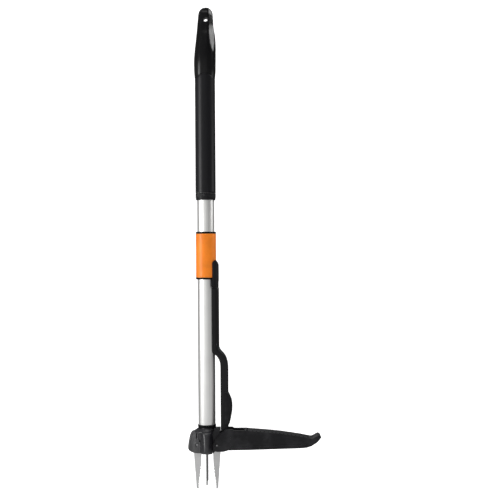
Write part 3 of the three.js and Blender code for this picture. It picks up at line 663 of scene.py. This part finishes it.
def cam_slot():
    """Closed slot along a rising point's path, as seen from the swinging claw."""
    path = []
    for i in range(5):
        t = i / 4
        a = CAM_SWING * t
        dx, dz = CAM_START[0] - PIN_OUT, CAM_START[1] + CAM_TRAVEL * t - PIN_Z
        path.append((PIN_OUT + dx * math.cos(a) - dz * math.sin(a),
                     PIN_Z + dx * math.sin(a) + dz * math.cos(a)))
    first, second = [], []
    for i, (x, z) in enumerate(path):
        x0, z0 = path[max(0, i - 1)]
        x1, z1 = path[min(len(path) - 1, i + 1)]
        length = math.hypot(x1 - x0, z1 - z0)
        nx, nz = -(z1 - z0) / length * CAM_R, (x1 - x0) / length * CAM_R
        first.append((x + nx, z + nz))
        second.append((x - nx, z - nz))
    def round_end(centre, start):
        a0 = math.atan2(start[1] - centre[1], start[0] - centre[0])
        return [(centre[0] + CAM_R * math.cos(a0 - math.pi * k / 8),
                 centre[1] + CAM_R * math.sin(a0 - math.pi * k / 8)) for k in range(1, 8)]
    return (first + round_end(path[-1], first[-1])
            + second[::-1] + round_end(path[0], second[0]))

def make_claw(side, tip, axis, sign, hole_r=2.62, hole_out=PIN_OUT):
    outline = [(sign * out, z, radius) for out, z, radius in claw_outline(tip)]
    piece = extruded(rounded(outline, 0.5), axis, -CLAW_HALF, CLAW_HALF)
    cut(piece, rod(axis, (sign * hole_out, PIN_Z), hole_r, -5, 5, 40),
        extruded([(sign * out, z) for out, z in cam_slot()], axis, -5, 5))
    finish(piece, "claw_" + side, bevel=(0.5, 2, 50), material=STEEL if axis == "y" else STEEL_X)

make_claw("left", CLAW_LONG, "y", -1)
make_claw("right", CLAW_LONG, "y", 1, PIVOT_HOLE_R, PIVOT_AT[0])
make_claw("front", CLAW_SHORT, "x", -1)
make_claw("rear", CLAW_SHORT, "x", 1)

# ------------------------------------------------------------------ eject collar
WAIST = 0.12

def collar_waist(radius, z, a):
    if radius < 19.5:
        return radius, z
    t = (z - COLLAR_BOTTOM) / (COLLAR_TOP - COLLAR_BOTTOM)
    return radius - WAIST * math.sin(math.pi * t), z

low, high = COLLAR_BOTTOM + COLLAR_RING_H + 0.3, COLLAR_TOP - COLLAR_RING_H - 0.3
profile = [(COLLAR_BORE_R, low), (COLLAR_R, low, 0.5)]
profile += [(COLLAR_R, low + (high - low) * k / 10, 0) for k in range(1, 10)]
profile += [(COLLAR_R, high, 0.5), (COLLAR_BORE_R, high)]
finish(cut(turned(profile, 128, 0.2, shape=collar_waist),
           rod("x", LUG_SCREW_AT, LUG_SCREW_HOLE_R, 15, 30, 24)), "eject_collar")
for tag, z0, z1, lower_edge, upper_edge in (
        ("top", COLLAR_TOP - COLLAR_RING_H, COLLAR_TOP, 0.3, 0.6),
        ("bottom", COLLAR_BOTTOM, COLLAR_BOTTOM + COLLAR_RING_H, 0.6, 0.3)):
    profile = [(COLLAR_BORE_R, z0), (COLLAR_R, z0, lower_edge), (COLLAR_R, z1, upper_edge),
               (COLLAR_BORE_R, z1)]
    finish(turned(profile, 128, 0.2), "collar_ring_" + tag, material=RING_BLACK)
finish(sleeve(17.8, 18.6, COLLAR_BOTTOM + 1, COLLAR_TOP - 1, edge=0.15), "collar_liner")

# ------------------------------------------------------------------ lug between collar and bar
LUG_BOTTOM = 340.6
# (x, y, corner radius) from above, and (x, z, corner radius) from the front
LUG_PLAN = [(9, -17.2, 1), (16, -16.4, 3), (22, -12.5, 4), (25.4, -7.5, 4), (26.1, -3, 3),
            (26.1, 3, 3), (25.4, 7.5, 4), (22, 12.5, 4), (16, 16.4, 3), (9, 17.2, 1)]
LUG_FRONT = [(11.2, 345, 1), (12.5, LUG_BOTTOM, 1), (25.4, LUG_BOTTOM, 1), (25.4, 352, 2),
             (26.1, 355, 2), (26.1, 386, 3), (24.5, 391.5, 3), (19.2, 398, 2), (14, 393, 1),
             (11.2, 386, 0)]
lug = extruded(rounded(LUG_PLAN, 1, 5), "z", LUG_BOTTOM, 399)
combine(lug, [extruded(rounded(LUG_FRONT, 1, 5), "y", -20, 20)], "INTERSECT")
cut(lug, rod("z", (0, 0), TUBE_CLEAR_R, 330, COLLAR_BOTTOM, 128),
    rod("z", (0, 0), COLLAR_R + 0.3, COLLAR_BOTTOM - 0.3, 410, 128),
    rod("x", LUG_SCREW_AT, LUG_SCREW_HOLE_R, 15, 30, 24), rod("x", LUG_SCREW_AT, 3.3, 23.6, 30, 32))
finish(lug, "bar_lug", bevel=(0.7, 3, 35))

# ------------------------------------------------------------------ eject bar
BAR_BOTTOM, BAR_TOP = 6.9, 340.3
BAR_INNER_EDGE_R = 1.4
# (height, value): inner x, outer x, half depth in y, radius of the outer edges
bar_inner = curve([(BAR_BOTTOM, 30.6), (9.5, 28.5), (30, 28.3), (173.5, 28.3), (183.8, 27.9),
                   (190, 26.5), (194.1, 24.7), (198.2, 22.2), (202.4, 18.1), (206, 12.2),
                   (209, 11.2), (BAR_TOP, 11.2)])
bar_outer = curve([(BAR_BOTTOM, 39.8), (9, 41.1), (20, 41.2), (46, 41.2), (51, 44.3), (60, 44.4),
                   (173.5, 44.4), (183, 43.9), (190, 42.6), (198.2, 40.0), (202.4, 37.6),
                   (206.5, 34.3), (210.6, 30.8), (214.8, 27.6), (220, 26.1), (BAR_TOP, 26.1)])
bar_half = curve([(BAR_BOTTOM, 7.9), (176, 8.0), (186, 9.2), (196, 11.0), (206, 12.9),
                  (216, 14.0), (BAR_TOP, 14.0)])
bar_edge_r = curve([(BAR_BOTTOM, 1.6), (176, 2.2), (200, 5.0), (218, 9.0), (BAR_TOP, 9.0)])

def bar_section(x0, x1, half, inner_r, outer_r, steps=7):
    """Rectangle with its own corner radii on the inner (x0) and outer (x1) sides."""
    width = x1 - x0
    outer_r = min(outer_r, width * 0.62, half * 0.9)
    inner_r = min(inner_r, width * 0.45, half * 0.9, width - outer_r)
    points = []
    for x, y, radius, start in ((x1 - outer_r, -half + outer_r, outer_r, -90),
                                (x1 - outer_r, half - outer_r, outer_r, 0),
                                (x0 + inner_r, half - inner_r, inner_r, 90),
                                (x0 + inner_r, -half + inner_r, inner_r, 180)):
        for k in range(steps + 1):
            a = math.radians(start + 90 * k / steps)
            points.append((x + radius * math.cos(a), y + radius * math.sin(a)))
    return points

heights = [BAR_BOTTOM, 7.3, 8.2, 9.5] + [12 + 8 * k for k in range(4)]
heights += [44, 45.5, 47, 48.5, 50, 52] + [58 + 14 * k for k in range(8)] + [162, 168, 173.5]
heights += [176 + 2 * k for k in range(24)] + [226, 250, 280, 310, 334, 338.5, 339.7, BAR_TOP]
rings = []
for z in heights:
    ease = 0.0                     # draws the section in at both ends
    if z < 8.2:
        ease = 0.8 * (8.2 - z) / 1.3
    if z > 339:
        ease = 0.6 * (z - 339) / 1.3
    section = bar_section(bar_inner(z) + ease * 0.5, bar_outer(z) - ease, bar_half(z) - ease,
                          BAR_INNER_EDGE_R, bar_edge_r(z))
    rings.append([(x, y, z) for x, y in section])
finish(cut(lofted(rings), rod("z", (0, 0), TUBE_CLEAR_R, 150, 350, 128),
           rod("y", LINK_AT, 3.12, -15, 15, 40), rod("x", CROSSHEAD_SCREW_AT, 2.2, 20, 45, 32),
           rod("x", PAD_SCREW_AT, PAD_SCREW_HOLE_R, 37.5, 50, 24)), "eject_bar", smooth_angle=30)

# ------------------------------------------------------------------ pad on the bar
PAD_BOTTOM, PAD_TOP, PAD_HALF, PAD_INNER_X = 57.5, 125, 10.5, 36.6
PAD_LEVELS, PAD_STEPS = 48, 22
# (height, outer x)
pad_outer = curve([(PAD_BOTTOM, 44.8), (58.6, 45.6), (62, 46.9), (66, 48.1), (74.3, 49.9),
                   (82.6, 51.4), (91, 52.5), (97, 52.6), (104, 52.2), (111.5, 50.8),
                   (117.7, 48.3), (122.5, 46.3), (PAD_TOP, 44.9)])
rings = []
for k in range(PAD_LEVELS + 1):
    t = k / PAD_LEVELS
    z = PAD_BOTTOM + (PAD_TOP - PAD_BOTTOM) * t
    ease = max(0.0, 1 - min(z - PAD_BOTTOM, PAD_TOP - z) / 1.6)
    half = PAD_HALF - 0.9 * ease ** 2 - 0.35 * abs(2 * t - 1) ** 3
    ring = []
    for j in range(PAD_STEPS + 1):             # crowned outer face, from -Y to +Y
        u = -1 + 2 * j / PAD_STEPS
        drop = 2.2 * abs(u) ** 2.6 + (2.0 * max(0, abs(u) - 0.80) / 0.20) ** 2 * 0.35
        ring.append((pad_outer(z) - drop, half * u, z))
    rings.append(ring + [(PAD_INNER_X, half, z), (PAD_INNER_X, -half, z)])
finish(cut(lofted(rings), block(30, 44.65, -8.25, 8.25, 40, 140),
           rod("x", PAD_SCREW_AT, PAD_SCREW_HOLE_R, 40, 60, 24),
           rod("x", PAD_SCREW_AT, 3.5, 49.4, 60, 40)), "bar_pad", smooth_angle=40)
finish(turned([(0, 0), (7.6, 0, 0.4), (8.3, 0.8, 0.3), (8.3, 3, 0.5), (3.8, 4.2, 0.8),
               (3.8, 21.7, 0.3), (0, 21.7)], 64, 0.4), "ejector_pad")

# ------------------------------------------------------------------ foot pedal
PEDAL_HALF, TREAD_HALF = 21.5, 17.3
PIVOT_BOSS_R = 8.5
# (x, z) along the pedal's top
DECK = [(55, 48), (80, 48), (90, 47), (110, 45.4), (131, 43.6), (151, 41.4), (172, 38.3),
        (193, 35.1), (204, 32.8), (213, 30.8)]
# (x, z, corner radius): underside near the pivot, rise to the deck, turned-up toe and sole
PEDAL_HEEL = [(38, 6.2, 6), (33, 5.2, 5), (20, 5.2, 4), (14.8, 8.2, 3), (12.4, 13, 3)]
PEDAL_RISE = [(27.3, 42.5, 5), (34, 46, 3), (38, 50.4, 1.6), (52.5, 50.4, 1.6)]
PEDAL_TOE = [(217, 31, 4), (228, 37.2, 1.4), (231.2, 36.6, 1.4), (234.2, 34, 1.2),
             (230.6, 28.6, 6), (225, 22.6, 8), (214, 15.8, 8), (204, 12.6, 8), (193, 11.5, 10),
             (90, 8.7, 8), (43, 8, 6)]
# (x, z) of the shallow recess along each cheek
CHEEK_PANEL = [(48, 14.0), (80, 14.4), (130, 16.0), (190, 17.6), (206, 19.6), (205, 26.0),
               (190, 29.4), (150, 35.4), (110, 39.0), (60, 41.2), (48, 40.2)]
# start and end x of the pockets under the deck
POCKETS = ((80.5, 99.5), (102, 124), (126.5, 149), (151.5, 174), (176.5, 198))
TREAD_STATIONS = [90, 110, 131, 151, 172, 193]

def deck_z(x):
    for (x0, z0), (x1, z1) in zip(DECK, DECK[1:]):
        if x <= x1:
            return z0 + (z1 - z0) * (x - x0) / (x1 - x0)

pivot_x, pivot_z = PIVOT_AT
boss = [(pivot_x + PIVOT_BOSS_R * math.cos(-math.radians(a)),
         pivot_z + PIVOT_BOSS_R * math.sin(-math.radians(a)), 2) for a in (180, 202, 215)]
side_view = PEDAL_HEEL + boss + PEDAL_RISE + [(x, z, 8) for x, z in DECK] + PEDAL_TOE
pedal = extruded(rounded(side_view, 1, 5), "y", -PEDAL_HALF, PEDAL_HALF)
cuts = [block(0, 77, -11.5, 11.5, 0, 60), rod("y", PIVOT_AT, 5.2, -19.7, 19.7),
        rod("y", PIVOT_AT, PIVOT_HOLE_R, -30, 30),
        rod("y", (pivot_x + LINK_ARM * math.cos(LINK_DROP), LINK_Z), 3.9, -19, 19)]
for x0, x1 in POCKETS:
    for y0, y1 in ((-18, -1.3), (1.3, 18)):
        pocket = [(x0, 0), (x1, 0), (x1, deck_z(x1) - 4.4), (x0, deck_z(x0) - 4.4)]
        cuts.append(extruded(pocket, "y", y0, y1))
tread_seat = [(x, deck_z(x) - 1.7) for x in [84] + TREAD_STATIONS + [206]]
cuts.append(extruded(tread_seat + [(206, 60), (84, 60)], "y", -17.6, 17.6))
for side in (-1, 1):
    y0, y1 = sorted((side * 20.8, side * 25))
    cuts.append(extruded(rounded(CHEEK_PANEL, 4, 5), "y", y0, y1))
for k in range(3):                 # notches across the turned-up toe
    x, z = 219.4 + 3.6 * k, 33.3 + 2.0 * k
    notch = [(x - 0.55, z - 0.2), (x + 0.75, z + 0.55), (x + 0.1, z + 2.6), (x - 1.3, z + 1.9)]
    cuts.append(extruded(notch, "y", -17.5, 17.5))
finish(cut(pedal, *cuts), "foot_pedal", bevel=(0.65, 3, 35))

stations = [84.3] + TREAD_STATIONS + [205.7]
tread = extruded([(x, deck_z(x) - 1.4) for x in stations]
                 + [(x, deck_z(x) - 0.2) for x in stations[::-1]], "y", -TREAD_HALF, TREAD_HALF)
for x in range(92, 202, 8):
    rib = [(x + dx, deck_z(x + dx) + dz)
           for dx, dz in ((0, -0.8), (3, -0.8), (2.4, 0.7), (0.6, 0.7))]
    fuse(tread, extruded(rounded(rib, 0.3, 2), "y", -15.5, 15.5))
finish(tread, "pedal_tread", bevel=(0.25, 2, 35))

# ------------------------------------------------------------------ sliding handle
GRIP_BOTTOM, GRIP_TOP, GRIP_R, GRIP_BORE_R = 534.6, 769.7, 20.8, 19.1
WAVE_START, WAVE_H = 760, 9.0
KNURL_Z, KNURLS = 529.5, 40

def wave(a):
    """Rise of the joint between grip and cap: highest at the front and rear."""
    return WAVE_H * math.sin(a) ** 2

def grip_shape(radius, z, a):
    if z > WAVE_START:
        z += wave(a) * (z - WAVE_START) / (GRIP_TOP - WAVE_START)
    return radius, z

profile = [(GRIP_BORE_R, GRIP_BOTTOM), (GRIP_R, GRIP_BOTTOM, 0.8)]
profile += [(GRIP_R, z, 0) for z in (540, 600, 660, 720, 755, WAVE_START, 763, 766)]
profile += [(GRIP_R, GRIP_TOP, 0.8), (GRIP_BORE_R, GRIP_TOP), (GRIP_BORE_R, 764),
            (GRIP_BORE_R, WAVE_START)]
finish(turned(profile, 128, 0.2, shape=grip_shape), "grip_sleeve", smooth_angle=50)

def knurl(radius, z, a):
    if radius < 20.3:
        return radius, z
    crest = 0.5 + 0.5 * math.cos(a * KNURLS)
    fade = max(0.0, 1 - abs(z - KNURL_Z) / 3.6)
    return radius - 0.55 * (1 - crest ** 0.6) * min(1, fade * 2.2), z

profile = [(18.9, 520.3), (19.8, 520.3, 0.5), (20.6, 525, 1.5)]
profile += [(GRIP_R, z, 0) for z in (526, 526.8, 527.8, KNURL_Z, 531, 532)]
profile += [(GRIP_R, 534.2, 0.6), (18.9, 534.2)]
finish(turned(profile, 320, 0.2, shape=knurl), "lock_ring", smooth_angle=50)

# ------------------------------------------------------------------ end cap
CAP_SEGMENTS, CAP_BOTTOM = 144, 770
CAP_LEAN = 2.2                     # how far the upper part is set over towards +X
CROWN_Z, CAP_TOP, CROWN_STEPS = 897.0, 916.9, 22
CROWN_POWER = 2.0 / 2.3
BLEND_POWER = 16.0                 # sharpness of the joins between round and flats
FLATS_Z = 829                      # flats on the sides start above this
RIDGE_RIGHT, RIDGE_LEFT = 5.2, 9.5           # half lengths of the front and rear flats
SLANT = math.radians(46)
HOLE_Z = 891.0
# (height, radius) and (height, distance of the front and rear flats from the axis)
cap_radius = curve([(CAP_BOTTOM, 20.9), (778, 21.6), (787, 22.2), (806, 22.5), (826, 21.9),
                    (851, 20.2), (875.6, 17.8), (888, 16.7), (901, 15.0)])
cap_flat = curve([(828, 27), (838, 23.0), (846, 20.2), (860, 16.5), (872, 13.2), (882, 12.0),
                  (902, 11.8), (910, 9.6)])
CAP_HEIGHTS = [770.25, 770.9, 772, 774, 777, 781, 786, 792, 799, 807, 815, 822, 828, 833, 837]
CAP_HEIGHTS += [840 + 2.0 * k for k in range(29)] + [896.8]
# (radius, height) of the rounded lip, and of the bore from the lip to its closed end
CAP_LIP = [(19.4, 771.2), (19.4, 770.6), (19.7, 770.1), (20.2, 770.0)]
CAP_BORE = [(19.15, 786), (19.1, 790.4), (18.0, 790.4), (18.0, 840), (17.4, 846.4)]
CAP_HOLE = [(0, -30), (6.8, -30), (6.4, -12.3, 0.5), (4.5, -10.7, 0.9), (4.3, -9.4, 0.5),
            (4.3, 9.4, 0.5), (4.5, 10.7, 0.9), (6.4, 12.3, 0.5), (6.8, 30), (0, 30)]

def lean(z):
    t = min(1.0, max(0.0, (z - 800) / 60))
    return CAP_LEAN * t * t * (3 - 2 * t)

def crown(t):
    """(radius, height) on the rounded crown, t from 0 to 1."""
    a = t * math.pi / 2
    return (cap_radius(CROWN_Z) * math.cos(a) ** CROWN_POWER,
            CROWN_Z + (CAP_TOP - CROWN_Z) * math.sin(a) ** CROWN_POWER)

def cap_flats(z):
    """(direction in degrees, distance) of the flats at a height."""
    flat = cap_flat(z)
    right = RIDGE_RIGHT * math.sin(SLANT) + flat * math.cos(SLANT)
    left = RIDGE_LEFT * math.sin(SLANT) + flat * math.cos(SLANT)
    return ((-90, flat), (90, flat), (-44, right), (-136, left), (44, right), (136, left))

verts, faces = [], []

def cap_ring(radius, z, fade=None):
    """Adds a ring; fade scales the joint's wave, which by default dies away upwards."""
    if fade is None:
        fade = max(0.0, 1 - (z - CAP_BOTTOM) / 26.0)
    flats = cap_flats(z) if z > FLATS_Z else ()
    ring = []
    for i in range(CAP_SEGMENTS):
        a = 2 * math.pi * i / CAP_SEGMENTS
        total = (1 / radius) ** BLEND_POWER
        for direction, distance in flats:
            c = math.cos(a - math.radians(direction))
            if c > 0:
                total += (c / distance) ** BLEND_POWER
        r = total ** (-1 / BLEND_POWER)
        raised = z + wave(a) * fade
        ring.append(len(verts))
        verts.append((r * math.cos(a) + lean(raised), r * math.sin(a), raised))
    return ring

def add_band(low, high):
    for i in range(CAP_SEGMENTS):
        j = (i + 1) % CAP_SEGMENTS
        faces.append((low[i], low[j], high[j], high[i]))

rings = [cap_ring(radius, z, 1 if z < 771 else None) for radius, z in CAP_LIP]
rings += [cap_ring(cap_radius(z), z) for z in CAP_HEIGHTS]
rings += [cap_ring(*crown(k / CROWN_STEPS)) for k in range(1, CROWN_STEPS)]
apex = len(verts)
verts.append((lean(CAP_TOP), 0, CAP_TOP))
for low, high in zip(rings, rings[1:]):
    add_band(low, high)
for i in range(CAP_SEGMENTS):
    faces.append((rings[-1][i], rings[-1][(i + 1) % CAP_SEGMENTS], apex))
previous = rings[0]
for radius, z in CAP_BORE:
    ring = [len(verts) + i for i in range(CAP_SEGMENTS)]
    for i in range(CAP_SEGMENTS):
        a = 2 * math.pi * i / CAP_SEGMENTS
        verts.append((radius * math.cos(a), radius * math.sin(a), z))
    add_band(ring, previous)
    previous = ring
faces.append(tuple(previous))
finish(cut(solid(verts, faces), turned(CAP_HOLE, 64, 0, "y", (CAP_LEAN, HOLE_Z), 4)),
       "end_cap", bevel=(0.5, 3, 40))

# hidden or barely seen pieces keep their CAD shape, with eased edges
for name in ("grip_core", "lock_collet", "crosshead"):
    for polygon in NODES[name].data.polygons:
        polygon.use_smooth = True
    ease_edges(NODES[name], width=0.3, segments=2, angle=40)


# ------------------------------------------------------------------ floor (metres from here on)
FLOOR_Z = CAD_BOX[0][2] - 0.0006
FLOOR_HALF, FLOOR_FRONT, FLOOR_TOP = 5, -4.0, 5.0
SWEEP_START, SWEEP_R, SWEEP_STEPS = 2.2, 1.2, 12

def floor_material():
    """Near-white to the camera and dimmer in reflections, so the parts' edges stay dark."""
    material, tree, shader = new_material("floor_pale")
    # the mottling linked at the end takes the place of this colour
    shader.inputs["Base Color"].default_value = grey(0.93)
    shader.inputs["Roughness"].default_value = 0.85
    ray = add(tree, "LightPath")
    glow = add(tree, "Emission")
    glow.inputs[0].default_value = WHITE
    glow.inputs[1].default_value = 0.60
    reflected = add(tree, "Emission")
    axes = object_axes(tree)
    def along(axis, half_span, *stops):
        unit = to_unit(tree, axes[axis], half_span)
        unit.use_clamp = True
        return ramp(tree, unit.outputs[0], *stops)
    by_x = along(0, 2.0, (0.0, 1.0), (0.45, 0.92), (0.62, 0.60), (1.0, 0.34))
    by_y = along(1, 1.0, (0.0, 1.12), (0.46, 1.0), (0.60, 0.30), (1.0, 0.24))
    tree.links.new(multiply(tree, by_x, by_y), reflected.inputs[0])
    lit = add(tree, "AddShader")
    to_camera = add(tree, "MixShader")
    to_gloss = add(tree, "MixShader")
    for source, target in (
            (shader.outputs[0], lit.inputs[0]), (glow.outputs[0], lit.inputs[1]),
            (ray.outputs["Is Camera Ray"], to_camera.inputs[0]),
            (shader.outputs[0], to_camera.inputs[1]), (lit.outputs[0], to_camera.inputs[2]),
            (ray.outputs["Is Glossy Ray"], to_gloss.inputs[0]),
            (to_camera.outputs[0], to_gloss.inputs[1]),
            (reflected.outputs[0], to_gloss.inputs[2]),
            (to_gloss.outputs[0], tree.nodes["Material Output"].inputs[0])):
        tree.links.new(source, target)
    mottling = ramp(tree, noise(tree, scale=3.0, detail=3.0), (0.3, 0.91), (0.7, 0.95))
    tree.links.new(mottling, shader.inputs["Base Color"])
    return material

# (y, z): flat ground, a quarter-round sweep, then a wall behind
profile = [(FLOOR_FRONT, FLOOR_Z), (SWEEP_START, FLOOR_Z)]
for i in range(1, SWEEP_STEPS + 1):
    a = math.pi / 2 * i / SWEEP_STEPS
    profile.append((SWEEP_START + SWEEP_R * math.sin(a), FLOOR_Z + SWEEP_R * (1 - math.cos(a))))
profile.append((SWEEP_START + SWEEP_R, FLOOR_TOP))
floor_mesh = bpy.data.meshes.new("studio_floor")
floor_mesh.from_pydata(
    [(x, y, z) for y, z in profile for x in (-FLOOR_HALF, FLOOR_HALF)], [],
    [(2 * i, 2 * i + 1, 2 * i + 3, 2 * i + 2) for i in range(len(profile) - 1)])
studio_floor = add_object(floor_mesh, "studio_floor")
floor_mesh.materials.append(floor_material())
for polygon in floor_mesh.polygons:
    polygon.use_smooth = True

# ------------------------------------------------------------------ world
# white to the camera; elsewhere dimmer to the right, to the rear and above
world = bpy.data.worlds.new("studio")
bpy.context.scene.world = world
world.use_nodes = True
tree = world.node_tree
for old in list(tree.nodes):
    tree.nodes.remove(old)
output = add(tree, "OutputWorld")
background = add(tree, "Background")
source = add(tree, "TexCoord")
direction = add(tree, "SeparateXYZ")
tree.links.new(source.outputs["Generated"], direction.inputs[0])

def sky_ramp(axis, *stops):
    return ramp(tree, to_unit(tree, direction.outputs[axis]).outputs[0], *stops)

by_x = sky_ramp(0, (0.0, 1.0), (0.30, 1.0), (0.55, 0.92), (0.78, 0.46), (1.0, 0.36))
by_y = sky_ramp(1, (0.0, 1.0), (0.46, 1.0), (0.60, 0.40), (1.0, 0.22))
by_xy = multiply(tree, by_x, by_y)
by_z = sky_ramp(2, (0.0, 1.0), (0.575, 1.0), (0.61, 0.45), (1.0, 0.7))
sky = multiply(tree, by_xy, by_z)
ray = add(tree, "LightPath")
tree.links.new(mix(tree, ray.outputs["Is Camera Ray"], sky, WHITE), background.inputs[0])
background.inputs[1].default_value = 1.0
tree.links.new(background.outputs[0], output.inputs[0])


# ------------------------------------------------------------------ lights
def area(name, location, aim_z, width, height, power):
    """Rectangular light aimed at a height on the tool's axis."""
    light = bpy.data.lights.new(name, "AREA")
    light.shape = "RECTANGLE"
    light.size = width
    light.size_y = height
    light.energy = power
    lamp = add_object(light, name)
    lamp.location = location
    aim = Vector((0, 0, aim_z)) - Vector(location)
    lamp.rotation_euler = aim.to_track_quat("-Z", "Y").to_euler()

area("key_left", (-1.84, -1.00, 0.51), aim_z=0.45, width=0.8, height=1.2, power=29)
area("fill_right", (1.66, 0.22, 1.82), aim_z=0.86, width=0.5, height=1.0, power=20)
area("fill_low", (1.70, 0.12, 0.64), aim_z=0.55, width=0.9, height=0.4, power=2.6)
area("top_soft", (-0.2, -0.9, 2.7), aim_z=0.4, width=1.6, height=1.2, power=18)

# ------------------------------------------------------------------ camera
CAMERA_X, CAMERA_Z, CAMERA_DISTANCE = 0.0907, 0.4171, 2.30
CAMERA_ROLL = 0.36                 # degrees
VIEW_SIZE = 1.0305                 # seen across the sensor's width at the tool's axis
SENSOR = 36

camera_data = bpy.data.cameras.new("cam")
camera = add_object(camera_data, "cam")
scene = bpy.context.scene
scene.camera = camera
camera.location = (CAMERA_X, -CAMERA_DISTANCE, CAMERA_Z)
camera.rotation_euler = (math.radians(90), math.radians(CAMERA_ROLL), 0)
camera_data.sensor_width = SENSOR
camera_data.lens = SENSOR * CAMERA_DISTANCE / VIEW_SIZE
scene.view_settings.view_transform = "Standard"
scene.view_settings.look = "None"
